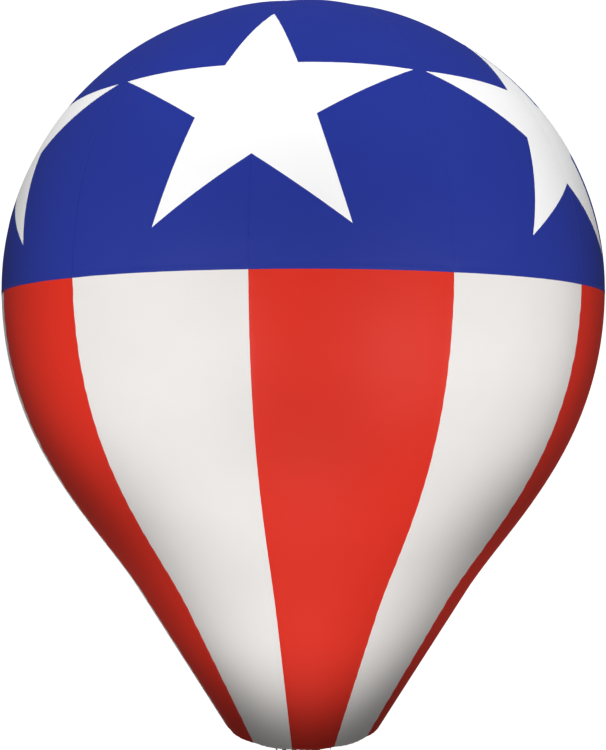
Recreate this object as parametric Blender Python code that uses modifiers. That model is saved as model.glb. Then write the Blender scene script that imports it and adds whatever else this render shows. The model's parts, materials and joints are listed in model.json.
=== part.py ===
"""Advertising sky balloon: a tethered gas balloon in the shape of a hot-air balloon.

Twelve blue crown gores carry six white stars, twelve red and white stripe gores run
down to a closed base, and six webbing straps gather the lift into a swivel and a
shackle for one tether. Metres, +Z up, -Y is the front. The origin is the point
inside the shackle's bow where the tether pulls.
Longitudes are counted from -Y towards +X.
"""

import math

import bmesh
import bpy
import numpy as np
from mathutils import Matrix, Vector

# Envelope outline, with heights counted from the widest ring
ENVELOPE_RADIUS = 2.0
DOME_HEIGHT = 1.904
SHOULDER_DEPTH = 1.965
SHOULDER_RADIUS = 1.133
SHOULDER_TOP_PULL = 0.996
SHOULDER_END_PULL = 0.540
SKIRT_SLOPE = 0.612
ENVELOPE_DEPTH = 2.958
RIM_ROLL_RADIUS = 0.050
COLOUR_SEAM_DROP = 0.038
CROWN_HOLE_RADIUS = 0.060

# Envelope build
GORES = 12
STARS = 6
GORE_FACETS = 4
DOME_RING_STEP = math.radians(7.5)
SHOULDER_RINGS = 8
ROLL_RINGS = 3
WALL = 0.010
SEAM_GAP = 0.0003

# Heights above the tether point
BASE_Z = 0.720
WIDEST_Z = BASE_Z + ENVELOPE_DEPTH

# Stars
STAR_RADIUS = 0.866
STAR_POINTS = 5
STAR_INNER_RATIO = math.sin(math.radians(18)) / math.sin(math.radians(54))
STAR_CENTRE_ARC = 0.888
STAR_EDGE_STEPS = 5
STAR_THICKNESS = 0.003
STAR_LIFT = 0.0009

# Crown and base closures
PATCH_THICKNESS = 0.003
PATCH_LIFT = 0.0004
CROWN_PATCH_RADIUS = 0.220
PANEL_BULGE = 0.070
PANEL_RING_RADII = (0.390, 0.300, 0.210, 0.130, 0.060)

# Webbing tabs and the D-rings that hang in them
TAB_HALF_WIDTH = 0.014
TAB_FOOT = 0.028
TAB_FOOT_THICKNESS = 0.0025
TAB_EYE_HEIGHT = 0.0095
TAB_EYE_RADIUS = 0.0036
TAB_LOOP_RADIUS = 0.0061
TAB_NECK = 0.007
RING_WIRE = 0.003
RING_HALF_WIDTH = 0.022
RING_SIDE = 0.012
RING_CORNER = 0.005
HANDLING_RADIUS = 0.360
HANDLING_LONGITUDES = (60, 120, 240, 300)

# Bridle straps and the two plates that clamp them
STRAPS = 6
STRAP_HALF_WIDTH = 0.020
STRAP_THICKNESS = 0.003
STRAP_TONGUE_START = 0.038
STRAP_BEND_RADIUS = 0.072
STRAP_SEWN_FROM = 0.232
STRAP_SEWN_TO = 0.292
PLATE_RADIUS = 0.065
PLATE_THICKNESS = 0.006
PLATE_CHAMFER = 0.001

# Swivel and shackle, from the bottom up
SHACKLE_WIRE = 0.006
SHACKLE_HALF_WIDTH = 0.0185
SHACKLE_EAR_RADIUS = 0.013
SHACKLE_EAR_THICKNESS = 0.0125
SHACKLE_PIN_Z = 0.062
SHACKLE_PIN_RADIUS = 0.006
EYE_RADIUS = 0.016
EYE_THICKNESS = 0.014
EYE_HOLE_RADIUS = 0.0065
SHANK_RADIUS = 0.009
SHANK_TOP_Z = 0.1155
HOUSING_BOTTOM_Z = 0.090
HOUSING_TOP_Z = 0.141
HOUSING_RADIUS = 0.022
HOUSING_FLANGE_RADIUS = 0.030
HOUSING_BORE_RADIUS = 0.0095

# Valves
NECK_RADIUS = 0.030
NECK_BORE_RADIUS = 0.021
NECK_LENGTH = 0.050
VALVE_FLANGE_RADIUS = 0.050
VALVE_FLANGE_THICKNESS = 0.004
CAP_RADIUS = 0.032
CAP_THICKNESS = 0.005
CAP_HINGE_Y = 0.042
CAP_PIN_RADIUS = 0.002
CAP_KNUCKLE_RADIUS = 0.0045
RELIEF_RADIUS = 0.245
RELIEF_FLANGE_RADIUS = 0.040

# Facets round a turned piece
PANEL_SIDES = GORES * GORE_FACETS
TURNED_SIDES = 24
SMOOTH_ANGLE = math.radians(35)

# Colours in linear RGB, with roughness and metallic
FINISHES = {
    "blue_fabric": ((0.022, 0.039, 0.300), 0.45, 0.0),
    "red_fabric": ((0.708, 0.036, 0.020), 0.45, 0.0),
    "white_fabric": ((0.830, 0.800, 0.776), 0.45, 0.0),
    "star_fabric": ((0.950, 0.950, 0.950), 0.50, 0.0),
    "webbing": ((0.020, 0.022, 0.026), 0.80, 0.0),
    "zinc_steel": ((0.560, 0.570, 0.580), 0.35, 1.0),
    "aluminium_plate": ((0.640, 0.650, 0.660), 0.40, 1.0),
    "valve_plastic": ((0.060, 0.063, 0.068), 0.45, 0.0),
}


def clear_scene():
    """Remove the objects that a new file starts with."""
    for obj in list(bpy.data.objects):
        bpy.data.objects.remove(obj, do_unlink=True)


def new_collection(name):
    """Make a collection under the scene's own."""
    collection = bpy.data.collections.new(name)
    bpy.context.scene.collection.children.link(collection)
    return collection


def make_material(finish, name):
    """Make one piece's own material from a finish."""
    colour, roughness, metallic = FINISHES[finish]
    material = bpy.data.materials.new(name)
    material.use_nodes = True
    shader = material.node_tree.nodes["Principled BSDF"]
    shader.inputs["Base Color"].default_value = (*colour, 1.0)
    shader.inputs["Roughness"].default_value = roughness
    shader.inputs["Metallic"].default_value = metallic
    return material


def add_piece(name, data, finish, matrix=None):
    """Put a mesh or curve into the balloon's collection as a named piece."""
    obj = bpy.data.objects.new(name, data)
    PIECES.objects.link(obj)
    if matrix is not None:
        obj.matrix_world = matrix
    if not data.materials:
        data.materials.append(None)
    obj.material_slots[0].link = "OBJECT"
    obj.material_slots[0].material = make_material(finish, name)
    return obj


def mesh_from_bmesh(bm, name):
    """Store a bmesh as a mesh that is smooth except at its sharp edges."""
    bmesh.ops.recalc_face_normals(bm, faces=bm.faces)
    mesh = bpy.data.meshes.new(name)
    bm.to_mesh(mesh)
    bm.free()
    mesh.shade_smooth()
    mesh.set_sharp_from_angle(angle=SMOOTH_ANGLE)
    return mesh


def baked_mesh(data, name, modifiers=()):
    """Evaluate a mesh or curve with modifiers, each (type, settings), and weld it."""
    obj = bpy.data.objects.new(name, data)
    CUTTERS.objects.link(obj)
    for kind, settings in modifiers:
        modifier = obj.modifiers.new(kind.title(), kind)
        for key, value in settings.items():
            setattr(modifier, key, value)
    bpy.context.view_layer.update()
    evaluated = obj.evaluated_get(bpy.context.evaluated_depsgraph_get())
    mesh = bpy.data.meshes.new_from_object(evaluated)
    bpy.data.objects.remove(obj, do_unlink=True)
    bm = bmesh.new()
    bm.from_mesh(mesh)
    bmesh.ops.remove_doubles(bm, verts=bm.verts, dist=1e-6)
    bpy.data.meshes.remove(mesh)
    return mesh_from_bmesh(bm, name)


def combined(base, parts, operation, name):
    """Join parts to a base mesh, or cut them from it, one Boolean after another."""
    cutters = []
    for part in parts:
        cutter = bpy.data.objects.new(part.name, part)
        CUTTERS.objects.link(cutter)
        cutter.hide_render = True
        cutter.display_type = "WIRE"
        cutters.append(cutter)
    modifiers = [
        ("BOOLEAN", {"operation": operation, "object": cutter, "solver": "EXACT"})
        for cutter in cutters
    ]
    mesh = baked_mesh(base, name, modifiers)
    for cutter in cutters:
        bpy.data.objects.remove(cutter, do_unlink=True)
    return mesh


def moved(mesh, matrix):
    """Return the mesh with a matrix applied to its points."""
    mesh.transform(matrix)
    return mesh


def turned(profile, name, sides=TURNED_SIDES):
    """Turn a profile of (radius, height) points about Z, from the axis to the axis."""
    mesh = bpy.data.meshes.new(name)
    points = [(radius, 0.0, height) for radius, height in profile]
    mesh.from_pydata(points, [(i, i + 1) for i in range(len(points) - 1)], [])
    screw = {
        "axis": "Z", "angle": math.tau, "steps": sides, "render_steps": sides,
        "use_merge_vertices": True, "merge_threshold": 0.0001,
    }
    return baked_mesh(mesh, name, [("SCREW", screw)])


def cylinder(radius, low, high, axis, name, sides=TURNED_SIDES):
    """Make a plain cylinder along X, Y or Z from one coordinate to another."""
    bm = bmesh.new()
    bmesh.ops.create_cone(
        bm, cap_ends=True, segments=sides, radius1=radius, radius2=radius, depth=high - low
    )
    turn = {"X": Matrix.Rotation(math.pi / 2, 4, "Y"), "Y": Matrix.Rotation(math.pi / 2, 4, "X")}
    shift = {"X": (1, 0, 0), "Y": (0, 1, 0), "Z": (0, 0, 1)}[axis]
    centre = Vector(shift) * (low + high) / 2
    bmesh.ops.transform(
        bm, matrix=Matrix.Translation(centre) @ turn.get(axis, Matrix()), verts=bm.verts
    )
    return mesh_from_bmesh(bm, name)


def box(low, high, name):
    """Make a box between two corners."""
    bm = bmesh.new()
    bmesh.ops.create_cube(bm, size=1.0)
    low, high = Vector(low), Vector(high)
    scale = Matrix.Diagonal((*(high - low), 1.0))
    bmesh.ops.transform(bm, matrix=Matrix.Translation((low + high) / 2) @ scale, verts=bm.verts)
    return mesh_from_bmesh(bm, name)


def tube(points, radius, name, cyclic=False, resolution=2):
    """Make a round tube along points as a curve with closed ends."""
    curve = bpy.data.curves.new(name, "CURVE")
    curve.dimensions = "3D"
    curve.bevel_depth = radius
    curve.bevel_resolution = resolution
    curve.use_fill_caps = True
    spline = curve.splines.new("POLY")
    spline.points.add(len(points) - 1)
    for target, point in zip(spline.points, points):
        target.co = (*point, 1.0)
    spline.use_cyclic_u = cyclic
    return curve


def flat_shape(outlines, half_thickness, name):
    """Extrude closed outlines in the XY plane both ways; inner outlines are holes."""
    curve = bpy.data.curves.new(name, "CURVE")
    curve.dimensions = "2D"
    curve.fill_mode = "BOTH"
    curve.extrude = half_thickness
    for outline in outlines:
        spline = curve.splines.new("POLY")
        spline.points.add(len(outline) - 1)
        for target, (x, y) in zip(spline.points, outline):
            target.co = (x, y, 0.0, 1.0)
        spline.use_cyclic_u = True
    return baked_mesh(curve, name)


def arc(centre, radius, start, end, steps):
    """Points on a circle from one angle in degrees to another, both ends included."""
    angles = np.radians(np.linspace(start, end, steps + 1))
    return [
        (centre[0] + radius * math.cos(a), centre[1] + radius * math.sin(a)) for a in angles
    ]


def on_longitude(degrees, x=0.0, radius=0.0, height=0.0):
    """Frame at a longitude: local +Y points outward and +X to its side."""
    turn = Matrix.Rotation(math.radians(degrees - 180), 4, "Z")
    return turn @ Matrix.Translation((x, radius, height))


def dome_outline():
    """Crown gore outline from the crown hole down to the colour seam."""
    tip = math.acos(CROWN_HOLE_RADIUS / ENVELOPE_RADIUS)
    rings = [i * DOME_RING_STEP for i in range(int(tip / DOME_RING_STEP), -1, -1)]
    points = [
        (ENVELOPE_RADIUS * math.cos(a), DOME_HEIGHT * math.sin(a)) for a in [tip] + rings
    ]
    points.append((ENVELOPE_RADIUS, -COLOUR_SEAM_DROP + SEAM_GAP / 2))
    return [(radius, WIDEST_Z + height) for radius, height in points]


def skirt_direction():
    """Unit vector up the straight skirt, as (radius, height)."""
    length = math.hypot(SKIRT_SLOPE, 1.0)
    return SKIRT_SLOPE / length, 1.0 / length


def stripe_outline():
    """Stripe gore outline: shoulder curve, straight skirt and rolled rim."""
    out, up = skirt_direction()
    start = np.array([ENVELOPE_RADIUS, 0.0])
    end = np.array([SHOULDER_RADIUS, -SHOULDER_DEPTH])
    pull_start = start + np.array([0.0, -SHOULDER_TOP_PULL])
    pull_end = end + SHOULDER_END_PULL * np.array([out, up])
    points = [(ENVELOPE_RADIUS, -COLOUR_SEAM_DROP - SEAM_GAP / 2)]
    for t in np.linspace(0.0, 1.0, SHOULDER_RINGS + 1)[1:]:
        point = (
            (1 - t) ** 3 * start + 3 * (1 - t) ** 2 * t * pull_start
            + 3 * (1 - t) * t ** 2 * pull_end + t ** 3 * end
        )
        points.append((float(point[0]), float(point[1])))
    slope = math.degrees(math.atan2(out, up))
    points += arc(rim_roll_centre(), RIM_ROLL_RADIUS, -slope, -90, ROLL_RINGS)
    return [(radius, WIDEST_Z + height) for radius, height in points]


def rim_roll_centre():
    """Centre of the rim's roll, which touches both the skirt and the base plane."""
    out, up = skirt_direction()
    corner = SHOULDER_RADIUS - SKIRT_SLOPE * (ENVELOPE_DEPTH - SHOULDER_DEPTH)
    reach = RIM_ROLL_RADIUS * (1 - out) / up
    return corner - reach, -ENVELOPE_DEPTH + RIM_ROLL_RADIUS


def outward_offset(outline, distance):
    """Move an outline outward by a distance, keeping its straight runs parallel."""
    points = np.array(outline)
    runs = np.diff(points, axis=0)
    normals = np.stack([-runs[:, 1], runs[:, 0]], axis=1)
    normals /= np.linalg.norm(normals, axis=1, keepdims=True)
    before = np.vstack([normals[:1], normals])
    after = np.vstack([normals, normals[-1:]])
    mitre = (before + after) / (1 + (before * after).sum(axis=1, keepdims=True))
    return [(float(r), float(z)) for r, z in points + distance * mitre]


def swept_wall(outer, inner, start, end, facets, name):
    """Sweep the strip between two outlines about Z, between two longitudes."""
    bm = bmesh.new()
    rows = [[bm.verts.new((0.0, -r, z)) for r, z in outline] for outline in (outer, inner)]
    for i in range(len(outer) - 1):
        bm.faces.new((rows[0][i], rows[0][i + 1], rows[1][i + 1], rows[1][i]))
    bmesh.ops.rotate(
        bm, verts=bm.verts, cent=(0, 0, 0), matrix=Matrix.Rotation(start, 3, "Z")
    )
    bmesh.ops.spin(
        bm, geom=bm.verts[:] + bm.edges[:] + bm.faces[:], cent=(0, 0, 0), axis=(0, 0, 1),
        angle=end - start, steps=facets, use_duplicate=False,
    )
    return mesh_from_bmesh(bm, name)


def build_gores():
    """Twelve crown gores over twelve stripe gores, each out along its own middle."""
    half = math.pi / GORES
    shift = SEAM_GAP / 2 / math.sin(half)
    crown = dome_outline()
    stripe = stripe_outline()
    crown_mesh = swept_wall(
        crown, outward_offset(crown, -WALL), -half, half, GORE_FACETS, "crown_gore"
    )
    stripe_inner = outward_offset(stripe, -WALL)
    stripe_inner[0] = (stripe[0][0] - WALL, stripe[0][1])
    stripe_mesh = swept_wall(stripe, stripe_inner, -half, half, GORE_FACETS, "stripe_gore")
    for i in range(GORES):
        place = Matrix.Rotation((2 * i + 1) * half, 4, "Z") @ Matrix.Translation((0, -shift, 0))
        colour = "red" if i % 2 == 0 else "white"
        add_piece(f"crown_gore_{i + 1:02d}", crown_mesh, "blue_fabric", place)
        add_piece(
            f"stripe_gore_{colour}_{i // 2 + 1}", stripe_mesh, f"{colour}_fabric", place
        )


def star_outline():
    """Points on the dome along a star's edge, wrapped from the flat star."""
    angles = np.linspace(0.0, math.pi / 2, 400)
    radii = ENVELOPE_RADIUS * np.cos(angles)
    heights = DOME_HEIGHT * np.sin(angles)
    lengths = np.concatenate([[0.0], np.cumsum(np.hypot(np.diff(radii), np.diff(heights)))])
    corners = []
    for i in range(2 * STAR_POINTS):
        reach = STAR_RADIUS * (1.0 if i % 2 == 0 else STAR_INNER_RATIO)
        angle = math.pi / 2 + i * math.pi / STAR_POINTS
        corners.append((reach * math.cos(angle), reach * math.sin(angle)))
    points = []
    for (x0, y0), (x1, y1) in zip(corners, corners[1:] + corners[:1]):
        for step in range(STAR_EDGE_STEPS):
            share = step / STAR_EDGE_STEPS
            across = x0 + (x1 - x0) * share
            arc_up = STAR_CENTRE_ARC + y0 + (y1 - y0) * share
            radius = np.interp(arc_up, lengths, radii)
            longitude = across / radius
            points.append(Vector((
                radius * math.sin(longitude), -radius * math.cos(longitude),
                np.interp(arc_up, lengths, heights),
            )))
    return points


def star_cutter():
    """A star-shaped cone from the middle of the dome out past its wall."""
    centre = Vector((0, 0, WIDEST_Z))
    outline = star_outline()
    bm = bmesh.new()
    rings = [
        [bm.verts.new(centre + point * reach) for point in outline] for reach in (0.5, 1.3)
    ]
    hubs = [
        bm.verts.new(sum((vert.co for vert in ring), Vector()) / len(ring)) for ring in rings
    ]
    for i in range(len(outline)):
        j = (i + 1) % len(outline)
        bm.faces.new((rings[0][i], rings[0][j], rings[1][j], rings[1][i]))
        bm.faces.new((rings[0][j], rings[0][i], hubs[0]))
        bm.faces.new((rings[1][i], rings[1][j], hubs[1]))
    return mesh_from_bmesh(bm, "star_cutter")


def build_stars():
    """Six stars, each centred on every other gore seam and wrapped to the dome."""
    outline = dome_outline()[1:-1]
    inner = outward_offset(outline, STAR_LIFT)
    outer = outward_offset(outline, STAR_LIFT + STAR_THICKNESS)
    half = math.tau / GORES
    skin = swept_wall(outer, inner, -half, half, 2 * GORE_FACETS, "star_skin")
    star = combined(skin, [star_cutter()], "INTERSECT", "star")
    for i in range(STARS):
        place = Matrix.Rotation(i * math.tau / STARS, 4, "Z")
        add_piece(f"star_{i + 1}", star, "star_fabric", place)


def build_crown():
    """Round patch over the gore tips, its webbing tab and the D-ring in it."""
    tip, ring = dome_outline()[:2]
    share = (CROWN_PATCH_RADIUS - tip[0]) / (ring[0] - tip[0])
    edge = (CROWN_PATCH_RADIUS, tip[1] + (ring[1] - tip[1]) * share)
    below = outward_offset([(0.0, tip[1]), tip, edge], PATCH_LIFT)
    above = outward_offset([(0.0, tip[1]), tip, edge], PATCH_LIFT + PATCH_THICKNESS)
    patch = turned(above + below[::-1], "crown_patch", PANEL_SIDES)
    add_piece("crown_patch", patch, "blue_fabric")
    seat = tip[1] + PATCH_LIFT + PATCH_THICKNESS + SEAM_GAP
    stand = Matrix.Translation((0, 0, seat))
    add_piece("crown_tab", TAB_MESH, "webbing", stand)
    eye = Matrix.Translation((0, 0, seat + TAB_EYE_HEIGHT))
    lying = Matrix.Rotation(math.pi / 2, 4, "X")
    add_piece("crown_ring", RING_CURVE, "zinc_steel", eye @ lying)


def panel_outline():
    """Base panel outline from the middle out to the rim seam, bulged downward."""
    rim = rim_roll_centre()[0] - SEAM_GAP
    radii = [0.0, *PANEL_RING_RADII[::-1], rim]
    flat = radii[1]
    return [
        (radius, BASE_Z - PANEL_BULGE * (1 - (max(radius, flat) / rim) ** 2))
        for radius in radii
    ]


def panel_frame(radius, longitude):
    """Frame on the panel's outer face: local +Z points away from the gas."""
    outline = panel_outline()
    index = max(i for i, point in enumerate(outline[:-1]) if point[0] <= radius)
    (r0, z0), (r1, z1) = outline[index], outline[index + 1]
    slope = math.atan2(z1 - z0, r1 - r0)
    height = z0 + math.tan(slope) * (radius - r0)
    tilt = Matrix.Rotation(math.pi + slope, 4, "X")
    return on_longitude(longitude, 0.0, radius, height) @ tilt, height, slope


def build_base_panel():
    """The closed panel that ends the envelope, bulged by the gas inside."""
    outer = panel_outline()
    inner = outward_offset(outer, WALL)
    inner[0] = (0.0, inner[0][1])
    add_piece("base_panel", turned(inner + outer[::-1], "base_panel", PANEL_SIDES), "white_fabric")


def tab_mesh():
    """Folded webbing: a flat foot with a loop standing on it, and the loop's eye."""
    centre = (0.0, TAB_EYE_HEIGHT)
    outline = [(TAB_FOOT, 0.0), (TAB_FOOT, TAB_FOOT_THICKNESS), (TAB_NECK, TAB_FOOT_THICKNESS)]
    outline += arc(centre, TAB_LOOP_RADIUS, -35, 215, 12)
    outline += [(-x, y) for x, y in outline[2::-1]]
    eye = arc(centre, TAB_EYE_RADIUS, 0, 360, 16)[:-1]
    mesh = flat_shape([outline, eye], TAB_HALF_WIDTH, "webbing_tab")
    upright = Matrix.Rotation(math.pi / 2, 4, "Z") @ Matrix.Rotation(math.pi / 2, 4, "X")
    return moved(mesh, upright)


def ring_curve():
    """D-ring of round wire, its straight bar on local X and its bow below."""
    side, corner = RING_HALF_WIDTH, RING_CORNER
    bow = arc((0.0, -RING_SIDE), side, 0, -180, 12)
    left = arc((-side + corner, -corner), corner, 180, 90, 3)
    right = arc((side - corner, -corner), corner, 90, 0, 3)
    outline = left + right + bow
    return tube([(x, 0.0, z) for x, z in outline], RING_WIRE, "d_ring", cyclic=True)


def build_handling_rings():
    """Four D-rings round the base for handling lines, each hanging in its tab."""
    for i, longitude in enumerate(HANDLING_LONGITUDES):
        frame, _, _ = panel_frame(HANDLING_RADIUS, longitude)
        seat = frame @ Matrix.Translation((0, 0, SEAM_GAP))
        add_piece(f"handling_tab_{i + 1}", TAB_MESH, "webbing", seat)
        eye = (seat @ Matrix.Translation((0, 0, TAB_EYE_HEIGHT))).translation
        hang = Matrix.Translation(eye) @ Matrix.Rotation(math.radians(longitude), 4, "Z")
        add_piece(f"handling_ring_{i + 1}", RING_CURVE, "zinc_steel", hang)


def plate_levels():
    """Bottom heights of the lower plate, the strap tongues and the upper plate."""
    lower = HOUSING_TOP_Z + SEAM_GAP
    tongue = lower + PLATE_THICKNESS + SEAM_GAP
    upper = tongue + STRAP_THICKNESS + SEAM_GAP
    return lower, tongue, upper


def build_bridle():
    """Six webbing straps from the base panel to the clamp plates."""
    _, sewn_z, slope = panel_frame(STRAP_SEWN_FROM, 0)
    drop = (SEAM_GAP + STRAP_THICKNESS / 2) / math.cos(slope)
    level = plate_levels()[1] + STRAP_THICKNESS / 2
    rise = math.tan(slope) * (STRAP_SEWN_TO - STRAP_SEWN_FROM)
    route = [
        (STRAP_TONGUE_START, level),
        (STRAP_BEND_RADIUS, level),
        (STRAP_SEWN_FROM, sewn_z - drop),
        (STRAP_SEWN_TO, sewn_z - drop + rise),
    ]
    half = STRAP_THICKNESS / 2
    outline = outward_offset(route, half) + outward_offset(route, -half)[::-1]
    strap = moved(
        flat_shape([outline], STRAP_HALF_WIDTH, "bridle_strap"),
        Matrix.Rotation(math.pi / 2, 4, "Z") @ Matrix.Rotation(math.pi / 2, 4, "X"),
    )
    for i in range(STRAPS):
        longitude = 360 / STRAPS * (i + 0.5)
        add_piece(f"bridle_strap_{i + 1}", strap, "webbing", on_longitude(longitude))


def build_clamp_plates():
    """Two round plates that clamp the straps' tongues between them."""
    lower, _, upper = plate_levels()
    chamfer = PLATE_CHAMFER
    profile = [
        (0.0, PLATE_THICKNESS), (PLATE_RADIUS - chamfer, PLATE_THICKNESS),
        (PLATE_RADIUS, PLATE_THICKNESS - chamfer), (PLATE_RADIUS, chamfer),
        (PLATE_RADIUS - chamfer, 0.0), (0.0, 0.0),
    ]
    plate = turned(profile, "clamp_plate", 36)
    add_piece("clamp_plate_lower", plate, "aluminium_plate", Matrix.Translation((0, 0, lower)))
    add_piece("clamp_plate_upper", plate, "aluminium_plate", Matrix.Translation((0, 0, upper)))


def build_swivel():
    """Swivel housing under the plates, and the eye that turns in its bore."""
    bore_end = SHANK_TOP_Z + 0.001
    profile = [
        (0.0, HOUSING_TOP_Z), (HOUSING_FLANGE_RADIUS, HOUSING_TOP_Z),
        (HOUSING_FLANGE_RADIUS, HOUSING_TOP_Z - 0.005),
        (HOUSING_RADIUS, HOUSING_TOP_Z - 0.008), (HOUSING_RADIUS, HOUSING_BOTTOM_Z + 0.003),
        (HOUSING_RADIUS - 0.003, HOUSING_BOTTOM_Z), (HOUSING_BORE_RADIUS, HOUSING_BOTTOM_Z),
        (HOUSING_BORE_RADIUS, bore_end), (0.0, bore_end),
    ]
    add_piece("swivel_housing", turned(profile, "swivel_housing"), "zinc_steel")
    eye = cylinder(EYE_RADIUS, -EYE_THICKNESS / 2, EYE_THICKNESS / 2, "X", "eye_cheek")
    shank = cylinder(SHANK_RADIUS, 0.0, SHANK_TOP_Z - SHACKLE_PIN_Z, "Z", "eye_shank")
    hole = cylinder(EYE_HOLE_RADIUS, -EYE_THICKNESS, EYE_THICKNESS, "X", "eye_hole")
    body = combined(eye, [shank], "UNION", "swivel_eye")
    body = combined(body, [hole], "DIFFERENCE", "swivel_eye")
    add_piece("swivel_eye", body, "zinc_steel", Matrix.Translation((0, 0, SHACKLE_PIN_Z)))


def build_shackle():
    """D-shackle whose bow holds the tether, and its headed pin."""
    bow_centre = SHACKLE_HALF_WIDTH - SHACKLE_WIRE - SHACKLE_PIN_Z
    route = [(SHACKLE_HALF_WIDTH, 0.0)]
    route += arc((0.0, bow_centre), SHACKLE_HALF_WIDTH, 0, -180, 14)
    route += [(-SHACKLE_HALF_WIDTH, 0.0)]
    bow = tube([(x, 0.0, z) for x, z in route], SHACKLE_WIRE, "shackle_bow", resolution=3)
    bow = baked_mesh(bow, "shackle_bow")
    inside = SHACKLE_HALF_WIDTH - SHACKLE_EAR_THICKNESS / 2
    outside = SHACKLE_HALF_WIDTH + SHACKLE_EAR_THICKNESS / 2
    ears = [
        cylinder(SHACKLE_EAR_RADIUS, inside, outside, "X", "right_ear"),
        cylinder(SHACKLE_EAR_RADIUS, -outside, -inside, "X", "left_ear"),
    ]
    hole = cylinder(SHACKLE_PIN_RADIUS + SEAM_GAP, -0.04, 0.04, "X", "pin_hole")
    bow = combined(bow, ears, "UNION", "shackle_bow")
    bow = combined(bow, [hole], "DIFFERENCE", "shackle_bow")
    hang = Matrix.Translation((0, 0, SHACKLE_PIN_Z))
    add_piece("shackle_bow", bow, "zinc_steel", hang)
    head = outside + SEAM_GAP
    profile = [
        (0.0, head + 0.006), (0.008, head + 0.006), (0.009, head + 0.005), (0.009, head),
        (SHACKLE_PIN_RADIUS, head), (SHACKLE_PIN_RADIUS, -outside - 0.004), (0.0, -outside - 0.004),
    ]
    pin = moved(turned(profile, "shackle_pin"), Matrix.Rotation(math.pi / 2, 4, "Y"))
    add_piece("shackle_pin", pin, "zinc_steel", hang)


def build_fill_valve():
    """Fill valve in the middle of the base panel, with a hinged cap under its mouth."""
    top = panel_outline()[0][1] - SEAM_GAP
    mouth = -NECK_LENGTH
    profile = [
        (0.0, 0.0), (VALVE_FLANGE_RADIUS, 0.0), (VALVE_FLANGE_RADIUS, -VALVE_FLANGE_THICKNESS),
        (NECK_RADIUS, -VALVE_FLANGE_THICKNESS - 0.002), (NECK_RADIUS, mouth),
        (NECK_BORE_RADIUS, mouth), (NECK_BORE_RADIUS, -0.008), (0.0, -0.008),
    ]
    body = turned(profile, "fill_valve")
    hinge = mouth + CAP_KNUCKLE_RADIUS
    wall = NECK_RADIUS - 0.004
    lugs = [
        box((x, wall, mouth + 0.0005), (x + 0.005, CAP_HINGE_Y + 0.003, mouth + 0.009), "hinge_lug")
        for x in (-0.013, 0.008)
    ]
    pin = moved(
        cylinder(CAP_PIN_RADIUS, -0.0125, 0.0125, "X", "hinge_pin", 12),
        Matrix.Translation((0, CAP_HINGE_Y, hinge)),
    )
    body = combined(body, lugs + [pin], "UNION", "fill_valve")
    place = Matrix.Translation((0, 0, top))
    add_piece("fill_valve", body, "valve_plastic", place)

    cap_top = mouth - hinge - SEAM_GAP
    disc = moved(
        cylinder(CAP_RADIUS, cap_top - CAP_THICKNESS, cap_top, "Z", "cap_disc"),
        Matrix.Translation((0, -CAP_HINGE_Y, 0)),
    )
    knuckle = cylinder(CAP_KNUCKLE_RADIUS, -0.007, 0.007, "X", "cap_knuckle", 16)
    arm_low, arm_high = cap_top - CAP_THICKNESS + 0.0005, cap_top - 0.0005
    arm = box((-0.0065, -0.014, arm_low), (0.0065, 0.001, arm_high), "cap_arm")
    riser = box((-0.0065, -0.0095, arm_low), (0.0065, 0.001, -0.001), "cap_riser")
    hole = cylinder(CAP_PIN_RADIUS + 0.0005, -0.02, 0.02, "X", "cap_hole", 12)
    cap = combined(disc, [arm, riser, knuckle], "UNION", "fill_cap")
    cap = combined(cap, [hole], "DIFFERENCE", "fill_cap")
    add_piece("fill_cap", cap, "valve_plastic", place @ Matrix.Translation((0, CAP_HINGE_Y, hinge)))


def build_relief_valve():
    """Spring relief valve at the back of the base panel, in one closed housing."""
    frame, _, _ = panel_frame(RELIEF_RADIUS, 180)
    profile = [
        (0.0, 0.034), (0.020, 0.034), (0.024, 0.030), (0.024, 0.024), (0.030, 0.022),
        (0.030, 0.006), (RELIEF_FLANGE_RADIUS, 0.004), (RELIEF_FLANGE_RADIUS, 0.0), (0.0, 0.0),
    ]
    seat = frame @ Matrix.Translation((0, 0, SEAM_GAP))
    add_piece("relief_valve", turned(profile, "relief_valve"), "valve_plastic", seat)


clear_scene()
PIECES = new_collection("advertising_sky_balloon")
CUTTERS = new_collection("cutters")
TAB_MESH = tab_mesh()
RING_CURVE = ring_curve()
build_gores()
build_stars()
build_crown()
build_base_panel()
build_handling_rings()
build_bridle()
build_clamp_plates()
build_swivel()
build_shackle()
build_fill_valve()
build_relief_valve()
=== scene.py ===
"""Looks of the tethered advertising balloon: coated fabric, webbing, metal and moulded plastic.

Longitudes are radians counted from -Y towards +X. Heights and lengths are metres.
"""

from __future__ import annotations

import json
import logging
import math
from dataclasses import dataclass, field
from enum import Enum
from functools import cached_property

import bmesh
import bpy
import numpy as np
from mathutils import Matrix, Vector


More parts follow.
